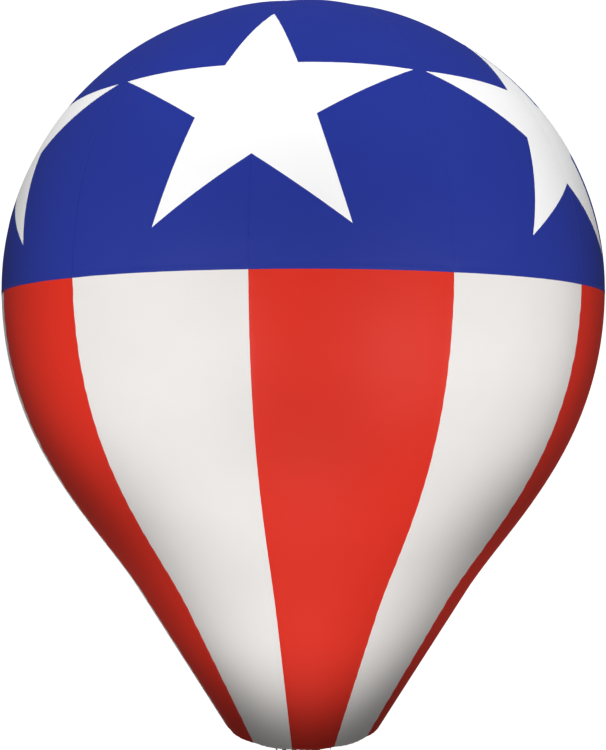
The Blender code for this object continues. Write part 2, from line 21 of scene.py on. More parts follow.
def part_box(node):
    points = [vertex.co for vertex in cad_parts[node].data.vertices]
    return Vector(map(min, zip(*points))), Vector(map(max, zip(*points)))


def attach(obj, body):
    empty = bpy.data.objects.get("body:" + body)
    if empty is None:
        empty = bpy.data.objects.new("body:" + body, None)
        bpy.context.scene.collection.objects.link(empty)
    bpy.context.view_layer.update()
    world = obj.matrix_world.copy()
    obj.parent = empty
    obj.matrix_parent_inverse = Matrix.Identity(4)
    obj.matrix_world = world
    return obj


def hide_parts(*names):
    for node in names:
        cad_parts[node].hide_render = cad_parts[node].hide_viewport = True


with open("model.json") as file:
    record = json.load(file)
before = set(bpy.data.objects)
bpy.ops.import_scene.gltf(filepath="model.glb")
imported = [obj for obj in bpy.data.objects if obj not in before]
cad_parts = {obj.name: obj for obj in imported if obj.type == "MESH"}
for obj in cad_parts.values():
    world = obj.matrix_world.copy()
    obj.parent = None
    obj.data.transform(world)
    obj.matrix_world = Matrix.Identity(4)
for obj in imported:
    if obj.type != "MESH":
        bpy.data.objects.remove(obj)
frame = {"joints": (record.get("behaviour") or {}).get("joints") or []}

LOG = logging.getLogger("balloon")
SEED = 11
GORES = 12
GORE_ANGLE = math.tau / GORES
SHARP_ANGLE = math.radians(32)
MERGE = 1e-7
ROOT = "envelope"


class Cloth(Enum):
    """The envelope's fabric colours, as sRGB hex."""

    BLUE = "#273695"
    RED = "#DC2F1F"
    WHITE = "#EBE7E4"
    STAR = "#FFFFFF"


class Body(Enum):
    """The moving bodies that pieces ride on."""

    ENVELOPE = ROOT
    CROWN_RING = "crown_ring"
    FILL_CAP = "fill_cap"
    SWIVEL = "swivel"
    SHACKLE = "shackle"


def linear(code: str) -> tuple[float, float, float, float]:
    """Turn an sRGB hex colour into linear RGBA.

    Args:
        code: Colour such as "#293895".

    Returns:
        Linear red, green, blue and an alpha of one.
    """
    srgb = np.array([int(code[i : i + 2], 16) for i in (1, 3, 5)]) / 255
    rgb = np.where(srgb <= 0.04045, srgb / 12.92, ((srgb + 0.055) / 1.055) ** 2.4)
    return (*rgb.tolist(), 1.0)


def add_node(
    tree: bpy.types.NodeTree, kind: str, inputs: dict | None = None, output: int | str = 0,
    **settings: object,
) -> bpy.types.NodeSocket:
    """Add a node with its settings, values and links.

    Args:
        tree: Node tree of the material.
        kind: Node type name.
        inputs: Socket name or number to a value, or to the socket that feeds it.
        output: Name or number of the output to return.
        settings: Properties of the node itself.

    Returns:
        The chosen output socket.
    """
    node = tree.nodes.new(kind)
    for key, value in settings.items():
        setattr(node, key, value)
    for key, value in (inputs or {}).items():
        if isinstance(value, bpy.types.NodeSocket):
            tree.links.new(value, node.inputs[key])
        else:
            node.inputs[key].default_value = value
    return node.outputs[output]


@dataclass(frozen=True)
class Finish:
    """A procedural material that is made once and shared by its pieces."""

    name: str
    slot: str

    def material(self) -> bpy.types.Material:
        """Return the finish's material, made at its first use."""
        found = bpy.data.materials.get(self.name)
        if found is not None:
            return found
        made = bpy.data.materials.new(self.name)
        made.use_nodes = True
        tree = made.node_tree
        self.paint(tree, tree.nodes["Principled BSDF"])
        return made

    def paint(self, tree: bpy.types.NodeTree, shader: bpy.types.Node) -> None:
        """Set the shader's values and links; each finish has its own way."""
        raise NotImplementedError


@dataclass(frozen=True)
class CoatedNylon(Finish):
    """Ripstop nylon with a thin polyurethane coat: satin, tight, with faint thread squares.

    The thicker threads of real ripstop stand about 5 mm apart, finer than a pixel of the
    picture, so their squares are drawn 20 mm apart. Welded edges carry a pressed knurl.
    """

    colour: str = Cloth.WHITE.value
    roughness: float = 0.58
    square: float = 0.020
    thread: float = 0.0012
    knurl: float = 0.0045
    weld_width: float = 0.022

    def paint(self, tree: bpy.types.NodeTree, shader: bpy.types.Node) -> None:
        """Colour that drifts slightly, thread squares, coat grain and weld knurl."""
        uv = add_node(tree, "ShaderNodeUVMap", uv_map="cloth")
        spot = add_node(tree, "ShaderNodeTexCoord", output="Object")
        across = add_node(tree, "ShaderNodeSeparateXYZ", {0: uv}, "X")
        along = add_node(tree, "ShaderNodeSeparateXYZ", {0: uv}, "Y")
        squares = [
            add_node(
                tree, "ShaderNodeMapRange",
                {
                    "Value": add_node(
                        tree, "ShaderNodeMath", {0: line, 1: self.square / 2},
                        operation="PINGPONG",
                    ),
                    "From Min": 0.0, "From Max": self.thread, "To Min": 1.0, "To Max": 0.0,
                },
                interpolation_type="SMOOTHSTEP",
            )
            for line in (across, along)
        ]
        threads = add_node(
            tree, "ShaderNodeMath", {0: squares[0], 1: squares[1]}, operation="MAXIMUM"
        )
        drift = add_node(
            tree, "ShaderNodeTexNoise", {"Vector": spot, "Scale": 1.3, "Detail": 3.0}
        )
        tint = add_node(
            tree, "ShaderNodeMapRange",
            {"Value": drift, "From Min": 0.3, "From Max": 0.7, "To Min": 0.965, "To Max": 1.02},
        )
        shade = add_node(
            tree, "ShaderNodeMath",
            {
                0: tint,
                1: add_node(
                    tree, "ShaderNodeMath", {0: threads, 1: -0.018, 2: 1.0},
                    operation="MULTIPLY_ADD",
                ),
            },
            operation="MULTIPLY",
        )
        colour = add_node(
            tree, "ShaderNodeVectorMath", {0: linear(self.colour)[:3], "Scale": shade},
            operation="SCALE",
        )
        seam = add_node(tree, "ShaderNodeAttribute", output="Fac", attribute_name="edge")
        welded = add_node(
            tree, "ShaderNodeMapRange",
            {
                "Value": seam, "From Min": self.weld_width * 0.82,
                "From Max": self.weld_width * 0.95, "To Min": 1.0, "To Max": 0.0,
            },
        )
        knurls = [
            add_node(
                tree, "ShaderNodeMath",
                {
                    0: add_node(
                        tree, "ShaderNodeMath", {0: line, 1: math.tau / self.knurl},
                        operation="MULTIPLY",
                    )
                },
                operation="SINE",
            )
            for line in (across, along)
        ]
        pressed = add_node(
            tree, "ShaderNodeMath",
            {
                0: welded,
                1: add_node(
                    tree, "ShaderNodeMath", {0: knurls[0], 1: knurls[1]}, operation="MULTIPLY"
                ),
            },
            operation="MULTIPLY",
        )
        grain = add_node(
            tree, "ShaderNodeTexNoise", {"Vector": spot, "Scale": 240.0, "Detail": 2.0}
        )
        relief = add_node(
            tree, "ShaderNodeMath",
            {
                0: add_node(
                    tree, "ShaderNodeMath", {0: threads, 1: 0.00010}, operation="MULTIPLY"
                ),
                1: add_node(
                    tree, "ShaderNodeMath", {0: grain, 1: 0.00012}, operation="MULTIPLY"
                ),
            },
            operation="ADD",
        )
        relief = add_node(
            tree, "ShaderNodeMath", {0: pressed, 1: 0.00018, 2: relief},
            operation="MULTIPLY_ADD",
        )
        bump = add_node(
            tree, "ShaderNodeBump", {"Height": relief, "Strength": 0.55, "Distance": 1.0},
            "Normal",
        )
        gloss = add_node(
            tree, "ShaderNodeMath", {0: welded, 1: -0.10, 2: self.roughness},
            operation="MULTIPLY_ADD",
        )
        tree.links.new(colour, shader.inputs["Base Color"])
        tree.links.new(gloss, shader.inputs["Roughness"])
        tree.links.new(bump, shader.inputs["Normal"])
        shader.inputs["IOR"].default_value = 1.47
        shader.inputs["Specular IOR Level"].default_value = 0.17


@dataclass(frozen=True)
class Webbing(Finish):
    """Woven polyester webbing: a matt twill whose ribs run in small chevrons."""

    colour: str = "#2A2D31"
    rib: float = 0.0032
    chevron: float = 0.010

    def paint(self, tree: bpy.types.NodeTree, shader: bpy.types.Node) -> None:
        """Chevron ribs across the width, with painted highlight on the ridges and painted shade in the
        valleys.
        """
        uv = add_node(tree, "ShaderNodeUVMap", uv_map="cloth")
        across = add_node(tree, "ShaderNodeSeparateXYZ", {0: uv}, "X")
        along = add_node(tree, "ShaderNodeSeparateXYZ", {0: uv}, "Y")
        fold = add_node(
            tree, "ShaderNodeMath", {0: across, 1: self.chevron / 2}, operation="PINGPONG"
        )
        slant = add_node(tree, "ShaderNodeMath", {0: along, 1: fold}, operation="ADD")
        wave = add_node(
            tree, "ShaderNodeMath",
            {
                0: add_node(
                    tree, "ShaderNodeMath", {0: slant, 1: math.tau / self.rib},
                    operation="MULTIPLY",
                )
            },
            operation="SINE",
        )
        rib = add_node(
            tree, "ShaderNodeMapRange",
            {"Value": wave, "From Min": -1.0, "From Max": 1.0, "To Min": 0.0, "To Max": 1.0},
        )
        # Painted highlight and shade: the colour runs from dark in the rib valleys to light on the ridges,
        # following the relief.
        dark, light = linear(self.colour), linear("#565B61")
        colour = add_node(
            tree, "ShaderNodeMix", {"Factor": rib, 6: dark, 7: light}, 2, data_type="RGBA"
        )
        fuzz = add_node(
            tree, "ShaderNodeTexNoise",
            {
                "Vector": add_node(tree, "ShaderNodeTexCoord", output="Object"),
                "Scale": 900.0, "Detail": 2.0,
            },
        )
        relief = add_node(
            tree, "ShaderNodeMath", {0: fuzz, 1: 0.4, 2: rib}, operation="MULTIPLY_ADD"
        )
        bump = add_node(
            tree, "ShaderNodeBump", {"Height": relief, "Strength": 0.7, "Distance": 0.0004},
            "Normal",
        )
        tree.links.new(colour, shader.inputs["Base Color"])
        tree.links.new(bump, shader.inputs["Normal"])
        shader.inputs["Roughness"].default_value = 0.82
        shader.inputs["Sheen Weight"].default_value = 0.25


@dataclass(frozen=True)
class Metal(Finish):
    """Plated, anodised or bare metal: fine grain, and a lighter worn tone mixed in by noise."""

    colour: str = "#C9CCCE"
    worn: str = "#E4E5E6"
    roughness: float = 0.32
    grain: float = 350.0

    def paint(self, tree: bpy.types.NodeTree, shader: bpy.types.Node) -> None:
        """Two close tones by noise, roughness that follows them, and a fine grain."""
        spot = add_node(tree, "ShaderNodeTexCoord", output="Object")
        cloud = add_node(tree, "ShaderNodeTexNoise", {"Vector": spot, "Scale": 60.0, "Detail": 5.0})
        colour = add_node(
            tree, "ShaderNodeMix",
            {"Factor": cloud, 6: linear(self.colour), 7: linear(self.worn)}, 2, data_type="RGBA",
        )
        rough = add_node(
            tree, "ShaderNodeMapRange",
            {
                "Value": cloud, "From Min": 0.3, "From Max": 0.7,
                "To Min": self.roughness - 0.06, "To Max": self.roughness + 0.08,
            },
        )
        fine = add_node(
            tree, "ShaderNodeTexNoise", {"Vector": spot, "Scale": self.grain, "Detail": 3.0}
        )
        bump = add_node(
            tree, "ShaderNodeBump", {"Height": fine, "Strength": 0.25, "Distance": 0.0002},
            "Normal",
        )
        tree.links.new(colour, shader.inputs["Base Color"])
        tree.links.new(rough, shader.inputs["Roughness"])
        tree.links.new(bump, shader.inputs["Normal"])
        shader.inputs["Metallic"].default_value = 1.0


@dataclass(frozen=True)
class MouldedPlastic(Finish):
    """Injection-moulded polymer with a fine spark-eroded texture."""

    colour: str = "#3C4045"

    def paint(self, tree: bpy.types.NodeTree, shader: bpy.types.Node) -> None:
        """Even colour with a faint cloud, and the mould's fine grain as bump."""
        spot = add_node(tree, "ShaderNodeTexCoord", output="Object")
        cloud = add_node(tree, "ShaderNodeTexNoise", {"Vector": spot, "Scale": 30.0, "Detail": 3.0})
        colour = add_node(
            tree, "ShaderNodeMix",
            {"Factor": cloud, 6: linear(self.colour), 7: linear("#4A4E54")}, 2, data_type="RGBA",
        )
        grain = add_node(
            tree, "ShaderNodeTexVoronoi", {"Vector": spot, "Scale": 900.0}, "Distance"
        )
        bump = add_node(
            tree, "ShaderNodeBump", {"Height": grain, "Strength": 0.3, "Distance": 0.0002},
            "Normal",
        )
        tree.links.new(colour, shader.inputs["Base Color"])
        tree.links.new(bump, shader.inputs["Normal"])
        shader.inputs["Roughness"].default_value = 0.46
        shader.inputs["IOR"].default_value = 1.50


@dataclass(frozen=True)
class Backdrop(Finish):
    """Pale studio paper for the floor and the wall behind."""

    def paint(self, tree: bpy.types.NodeTree, shader: bpy.types.Node) -> None:
        """Matt white that is lit from within, so that it stays even."""
        shader.inputs["Base Color"].default_value = linear("#FFFFFF")
        shader.inputs["Roughness"].default_value = 1.0
        shader.inputs["Specular IOR Level"].default_value = 0.0
        shader.inputs["Emission Color"].default_value = (1.0, 1.0, 1.0, 1.0)
        shader.inputs["Emission Strength"].default_value = 1.0


BLUE_NYLON = CoatedNylon("crown_nylon_blue", "blue_fabric", Cloth.BLUE.value)
RED_NYLON = CoatedNylon("stripe_nylon_red", "red_fabric", Cloth.RED.value)
WHITE_NYLON = CoatedNylon("stripe_nylon_white", "white_fabric", Cloth.WHITE.value)
STAR_NYLON = CoatedNylon("star_nylon_white", "star_fabric", Cloth.STAR.value)
BLACK_WEBBING = Webbing("polyester_webbing", "webbing")
THREAD = Metal("bonded_polyester_thread", "webbing", "#B9BCC0", "#D5D7DA", 0.7)
ZINC_STEEL = Metal("zinc_plated_steel", "zinc_steel")
ANODISED = Metal("anodised_aluminium", "aluminium_plate", "#B4B8BC", "#CDD0D3", 0.38)
VALVE_PLASTIC = MouldedPlastic("moulded_valve_plastic", "valve_plastic")
PAPER = Backdrop("studio_paper", "")


def rounded(points: np.ndarray, cut: float, steps: int = 4) -> np.ndarray:
    """Round the inner corners of a line of points.

    Each corner P becomes a quadratic curve from a point `cut` before P to one `cut`
    after it, with P as its control point; cut is less where a side is short.

    Args:
        points: Array of shape (n, 2).
        cut: Length taken from each side of a corner.
        steps: Points made on each corner, less one.

    Returns:
        Array of shape (2 + (n - 2) * (steps + 1), 2).
    """
    sides = np.diff(points, axis=0)
    lengths = np.linalg.norm(sides, axis=1)
    units = sides / lengths[:, None]
    reach = np.minimum(cut, 0.45 * np.minimum(lengths[:-1], lengths[1:]))[:, None]
    corner = points[1:-1]
    before, after = corner - units[:-1] * reach, corner + units[1:] * reach
    t = np.linspace(0.0, 1.0, steps + 1)[None, :, None]
    curve = (
        (1 - t) ** 2 * before[:, None] + 2 * t * (1 - t) * corner[:, None]
        + t ** 2 * after[:, None]
    )
    return np.vstack([points[:1], curve.reshape(-1, points.shape[1]), points[-1:]])


def even(points: np.ndarray, spacing: float) -> np.ndarray:
    """Place points along a line at even arc lengths.

    Args:
        points: Array of shape (n, k).
        spacing: Wanted distance between neighbours.

    Returns:
        Array of shape (m, k), ends kept.
    """
    arc = np.concatenate([[0.0], np.cumsum(np.linalg.norm(np.diff(points, axis=0), axis=1))])
    wanted = np.linspace(0.0, arc[-1], max(2, int(round(arc[-1] / spacing)) + 1))
    return np.stack([np.interp(wanted, arc, column) for column in points.T], axis=1)


def arc_lengths(points: np.ndarray) -> np.ndarray:
    """Distance along a line of points, from its first point to each."""
    return np.concatenate([[0.0], np.cumsum(np.linalg.norm(np.diff(points, axis=0), axis=1))])


def circle(centre: tuple[float, float], radius: float, start: float, end: float,
           steps: int) -> np.ndarray:
    """Points on a circle between two angles in degrees, both ends included."""
    angle = np.radians(np.linspace(start, end, steps + 1))
    return np.stack([centre[0] + radius * np.cos(angle), centre[1] + radius * np.sin(angle)], 1)


def revolve(profile: np.ndarray, sides: int) -> np.ndarray:
    """Turn (radius, height) points about Z: x = r sin a, y = -r cos a, z as given.

    Args:
        profile: Array of shape (n, 2).
        sides: Steps round the axis.

    Returns:
        Grid of shape (n, sides + 1, 3), whose last column lies on its first.
    """
    angle = np.linspace(0.0, math.tau, sides + 1)
    radius, height = profile[:, :1], profile[:, 1:]
    return np.stack(
        [radius * np.sin(angle), -radius * np.cos(angle), height + 0.0 * angle], axis=2
    )


def sweep(path: np.ndarray, section: np.ndarray, side: np.ndarray, ring: bool) -> np.ndarray:
    """Carry a closed section along a flat path.

    A section point (a, b) lies at path + a * side + b * normal, where side is the fixed
    direction square to the path's plane and normal is tangent x side. An open path gets
    a row at each end with every point on the path, which closes it.

    Args:
        path: Points of shape (m, 3).
        section: Closed outline of shape (k, 2), its last point on its first.
        side: Unit vector of shape (3,).
        ring: True where the path's last point lies on its first.

    Returns:
        Grid of shape (m or m + 2, k, 3).
    """
    tangent = np.gradient(path, axis=0)
    if ring:
        tangent[0] = tangent[-1] = path[1] - path[-2]
    tangent /= np.linalg.norm(tangent, axis=1, keepdims=True)
    normal = np.cross(tangent, side)
    rows = (
        path[:, None] + section[None, :, :1] * side + section[None, :, 1:] * normal[:, None]
    )
    if ring:
        return rows
    ends = [np.repeat(path[i][None, None], section.shape[0], axis=1) for i in (0, -1)]
    return np.concatenate([ends[0], rows, ends[1]])


def placed(grid: np.ndarray, matrix: Matrix) -> np.ndarray:
    """Move a grid of points by a 4x4 matrix."""
    m = np.array(matrix)
    return grid @ m[:3, :3].T + m[:3, 3]


def grid_faces(rows: int, columns: int) -> np.ndarray:
    """Corner numbers of the quads of a grid, one row of four for each quad."""
    start = (np.arange(rows - 1)[:, None] * columns + np.arange(columns - 1)[None, :]).ravel()
    return np.stack([start, start + 1, start + columns + 1, start + columns], axis=1)


def signed_volume(points: np.ndarray, quads: np.ndarray) -> float:
    """Volume inside a closed set of quads, negative where they face inwards."""
    a, b, c, d = (points[quads[:, i]] for i in range(4))
    first = np.einsum("ij,ij->i", a, np.cross(b, c)).sum()
    second = np.einsum("ij,ij->i", a, np.cross(c, d)).sum()
    return float(first + second) / 6


@dataclass
class Part:
    """Grids that make one closed piece, with its fabric coordinates and edge distance."""

    points: list[np.ndarray] = field(default_factory=list)
    quads: list[np.ndarray] = field(default_factory=list)
    cloth: list[np.ndarray] = field(default_factory=list)
    edge: list[np.ndarray] = field(default_factory=list)

    def add(self, grid: np.ndarray, cloth: np.ndarray | None = None,
            edge: np.ndarray | float = 1.0) -> Part:
        """Add a closed grid.

        Args:
            grid: Points of shape (rows, columns, 3).
            cloth: Metres across and along, of shape (rows, columns, 2).
            edge: Distance to the nearest welded edge, for each point or for all.

        Returns:
            This part, so that calls can be chained.
        """
        rows, columns = grid.shape[:2]
        flat = grid.reshape(-1, 3)
        quads = grid_faces(rows, columns)
        if signed_volume(flat - flat.mean(axis=0), quads) < 0:
            quads = quads[:, ::-1]
        offset = sum(len(p) for p in self.points)
        self.points.append(flat)
        self.quads.append(quads + offset)
        if cloth is None:
            cloth = np.stack(
                np.broadcast_arrays(
                    np.linspace(0, 1, columns)[None, :], np.linspace(0, 1, rows)[:, None]
                ), axis=2,
            )
        self.cloth.append(cloth.reshape(-1, 2))
        self.edge.append(np.broadcast_to(edge, (rows, columns)).ravel())
        return self

    def add_copies(self, grid: np.ndarray, frames: list[Matrix]) -> Part:
        """Add a copy of a closed grid at each frame."""
        for matrix in frames:
            self.add(placed(grid, matrix))
        return self

    def build(self, name: str, finish: Finish, body: str, *nodes: str,
              smooth: float = SHARP_ANGLE) -> bpy.types.Object:
        """Make the object, merge its poles and seams, dress it and set it on its body.

        Args:
            name: Piece name.
            finish: Material and slot.
            body: CAD body that it rides on.
            nodes: CAD nodes that it stands for.
            smooth: Angle above which an edge is sharp.

        Returns:
            The finished object.
        """
        points, quads = np.concatenate(self.points), np.concatenate(self.quads)
        mesh = bpy.data.meshes.new(name)
        mesh.vertices.add(len(points))
        mesh.vertices.foreach_set("co", points.ravel())
        mesh.loops.add(quads.size)
        mesh.loops.foreach_set("vertex_index", quads.ravel())
        mesh.polygons.add(len(quads))
        mesh.polygons.foreach_set("loop_start", np.arange(0, quads.size, 4))
        uv = mesh.uv_layers.new(name="cloth")
        uv.data.foreach_set("uv", np.concatenate(self.cloth)[quads.ravel()].ravel())
        edge = mesh.attributes.new("edge", "FLOAT", "POINT")
        edge.data.foreach_set("value", np.concatenate(self.edge).astype(np.float32))
        mesh.update(calc_edges=True)
        bm = bmesh.new()
        bm.from_mesh(mesh)
        bmesh.ops.remove_doubles(bm, verts=bm.verts, dist=MERGE)
        bmesh.ops.dissolve_degenerate(bm, edges=bm.edges, dist=MERGE)
        bm.to_mesh(mesh)
        bm.free()
        mesh.shade_smooth()
        mesh.set_sharp_from_angle(angle=smooth)
        mesh.materials.append(finish.material())
        obj = bpy.data.objects.new(name, mesh)
        bpy.context.scene.collection.objects.link(obj)
        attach(obj, body)
        if nodes:
            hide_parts(*nodes)
        LOG.info("%s: %d faces", name, len(mesh.polygons))
        return obj


def box_grid(low: tuple[float, float, float], high: tuple[float, float, float],
             cut: float) -> np.ndarray:
    """A box with rounded upright edges, as a closed outline carried from low to high."""
    (x0, y0, z0), (x1, y1, z1) = low, high
    outline = np.array([
        [(x0 + x1) / 2, y0], [x1, y0], [x1, y1], [x0, y1], [x0, y0], [(x0 + x1) / 2, y0]
    ])
    outline = rounded(outline, cut)
    centre = np.array([(x0 + x1) / 2, (y0 + y1) / 2])
    shrink = np.array([0.0, 1 - cut / (x1 - x0), 1.0, 1.0, 1 - cut / (x1 - x0), 0.0])
    level = np.array([z0, z0, z0 + cut / 2, z1 - cut / 2, z1, z1])
    flat = centre + (outline - centre)[None] * shrink[:, None, None]
    return np.concatenate([flat, np.broadcast_to(level[:, None, None], (*flat.shape[:2], 1))], 2)


@dataclass(frozen=True)
class EnvelopeShape:
    """The gas envelope's outer surface.

    The dome is a quarter ellipse, the shoulder a cubic curve, the skirt a straight cone
    and the rim a quarter roll, all turned about Z. On it each gore swells a little
    between its seams, and the cloth puckers where it is welded.
    """

    base_z: float
    radius: float = 2.0
    dome_height: float = 1.904
    shoulder_depth: float = 1.965
    shoulder_radius: float = 1.133
    top_pull: float = 0.996
    end_pull: float = 0.540
    skirt_slope: float = 0.612
    depth: float = 2.958
    rim_roll: float = 0.050
    colour_seam: float = -0.038
    crown_hole: float = 0.060
    wall: float = 0.010
    lobe: float = 0.008
    pucker: float = 0.0009
    pucker_reach: float = 0.050
    bulge: float = 0.070

    @property
    def widest_z(self) -> float:
        """Height of the widest ring."""
        return self.base_z + self.depth

    @cached_property
    def skirt(self) -> np.ndarray:
        """Unit vector up the skirt, as (radius, height)."""
        return np.array([self.skirt_slope, 1.0]) / math.hypot(self.skirt_slope, 1.0)

    @cached_property
    def roll_centre(self) -> tuple[float, float]:
        """Centre of the rim's roll, which touches the skirt and the base plane."""
        corner = self.shoulder_radius - self.skirt_slope * (self.depth - self.shoulder_depth)
        reach = self.rim_roll * (1 - self.skirt[0]) / self.skirt[1]
        return corner - reach, self.rim_roll - self.depth

    @cached_property
    def line(self) -> tuple[np.ndarray, np.ndarray, np.ndarray]:
        """Arc length from the widest ring, upward, with the outline's points and normals."""
        slope = math.degrees(math.atan(self.skirt_slope))
        roll = circle(self.roll_centre, self.rim_roll, -90, -slope, 24)
        t = np.linspace(1.0, 0.0, 240)[:, None]
        end = np.array([[self.shoulder_radius, -self.shoulder_depth]])
        start = np.array([[self.radius, 0.0]])
        shoulder = (
            (1 - t) ** 3 * start + 3 * (1 - t) ** 2 * t * (start - [[0.0, self.top_pull]])
            + 3 * (1 - t) * t ** 2 * (end + self.end_pull * self.skirt) + t ** 3 * end
        )
        skirt = roll[-1] + np.linspace(0, 1, 60)[1:-1, None] * (shoulder[0] - roll[-1])
        angle = np.linspace(0.0, math.pi / 2, 400)[1:, None]
        dome = np.hstack([self.radius * np.cos(angle), self.dome_height * np.sin(angle)])
        points = np.vstack([roll, skirt, shoulder, dome])
        length = arc_lengths(points)
        length -= length[len(roll) + len(skirt) + len(shoulder) - 1]
        tangent = np.gradient(points, length, axis=0)
        tangent /= np.linalg.norm(tangent, axis=1, keepdims=True)
        normal = np.stack([tangent[:, 1], -tangent[:, 0]], axis=1)
        return length, points + [0.0, self.widest_z], normal

    @property
    def low(self) -> float:
        """Arc length at the rim's seam with the base panel."""
        return float(self.line[0][0])

    @property
    def high(self) -> float:
        """Arc length at the gores' tips, round the crown hole."""
        return float(np.interp(-self.crown_hole, -self.line[1][:, 0][-400:], self.line[0][-400:]))

    def ring(self, arc: np.ndarray) -> np.ndarray:
        """Radius of the plain outline at an arc length."""
        return np.interp(arc, self.line[0], self.line[1][:, 0])

    @cached_property
    def phases(self) -> np.ndarray:
        """Fixed random phases for the puckers of each seam."""
        return np.random.default_rng(SEED).uniform(0, math.tau, (GORES, 3))

    def swell(self, longitude: np.ndarray, arc: np.ndarray) -> np.ndarray:
        """How far the cloth stands off the plain outline.

        A gore's swelling is lobe * (sin(pi f) ** 0.8 - 0.5), with f from 0 to 1 across
        it. A pucker is a sum of three sines along its seam, and fades with the distance
        from the seam as exp(-d / reach).

        Args:
            longitude: Longitudes of the points.
            arc: Their arc lengths.

        Returns:
            Offsets along the outline's normal.
        """
        share = longitude / GORE_ANGLE
        across = share - np.floor(share)
        radius = self.ring(arc)
        fade = np.clip(radius / 0.6, 0.0, 1.0)
        lobes = self.lobe * (np.sin(math.pi * across) ** 0.8 - 0.5) * fade
        seam = np.round(share).astype(int) % GORES
        near = np.abs(share - np.round(share)) * GORE_ANGLE * radius
        phase = self.phases[seam]
        ripple = (
            np.sin(arc * math.tau / 0.094 + phase[..., 0])
            + 0.7 * np.sin(arc * math.tau / 0.151 + phase[..., 1])
            + 0.5 * np.sin(arc * math.tau / 0.232 + phase[..., 2])
        )
        upright = np.exp(-near / self.pucker_reach) * ripple
        round_way = longitude * self.radius
        level = np.exp(-np.abs(arc - self.colour_seam) / self.pucker_reach) * (
            np.sin(round_way * math.tau / (self.radius * math.tau / 140))
            + 0.7 * np.sin(round_way * math.tau / (self.radius * math.tau / 83) + 1.3)
        )
        gather = np.exp(-(arc - self.low) / 0.11) * (
            np.sin(longitude * 72) + 0.6 * np.sin(longitude * 108 + 0.9)
        )
        return lobes + self.pucker * (upright + level) + 1.4 * self.pucker * gather

    def point(self, longitude: np.ndarray, arc: np.ndarray,
              lift: np.ndarray | float) -> np.ndarray:
        """Points on the swollen surface.

        Args:
            longitude: Longitudes.
            arc: Arc lengths from the widest ring.
            lift: Height above the surface along its normal.

        Returns:
            Points, with x, y and z on a last axis.
        """
        longitude, arc = np.broadcast_arrays(longitude, arc)
        length, outline, normal = self.line
        off = self.swell(longitude, arc) + lift
        radius, height, out, up = (
            np.interp(arc, length, column)
            for column in (outline[:, 0], outline[:, 1], normal[:, 0], normal[:, 1])
        )
        radius = radius + out * off
        return np.stack(
            [radius * np.sin(longitude), -radius * np.cos(longitude), height + up * off], -1
        )

    @property
    def panel_rim(self) -> float:
        """Radius of the base panel's seam."""
        return self.roll_centre[0]

    def panel_height(self, radius: np.ndarray) -> np.ndarray:
        """Height of the base panel's outer face: a shallow bowl, lowest in the middle."""
        return self.base_z - self.bulge * (1 - (radius / self.panel_rim) ** 2)

    def panel_frame(self, longitude: float, radius: float, lift: float = 0.0) -> Matrix:
        """Frame on the base panel: local +Z away from the gas, +Y outward, +X to the side."""
        slope = math.atan(2 * self.bulge * radius / self.panel_rim ** 2)
        turn = Matrix.Rotation(longitude - math.pi, 4, "Z")
        spot = Matrix.Translation((0, radius, float(self.panel_height(radius))))
        tilt = Matrix.Rotation(math.pi + slope, 4, "X")
        return turn @ spot @ tilt @ Matrix.Translation((0, 0, lift))


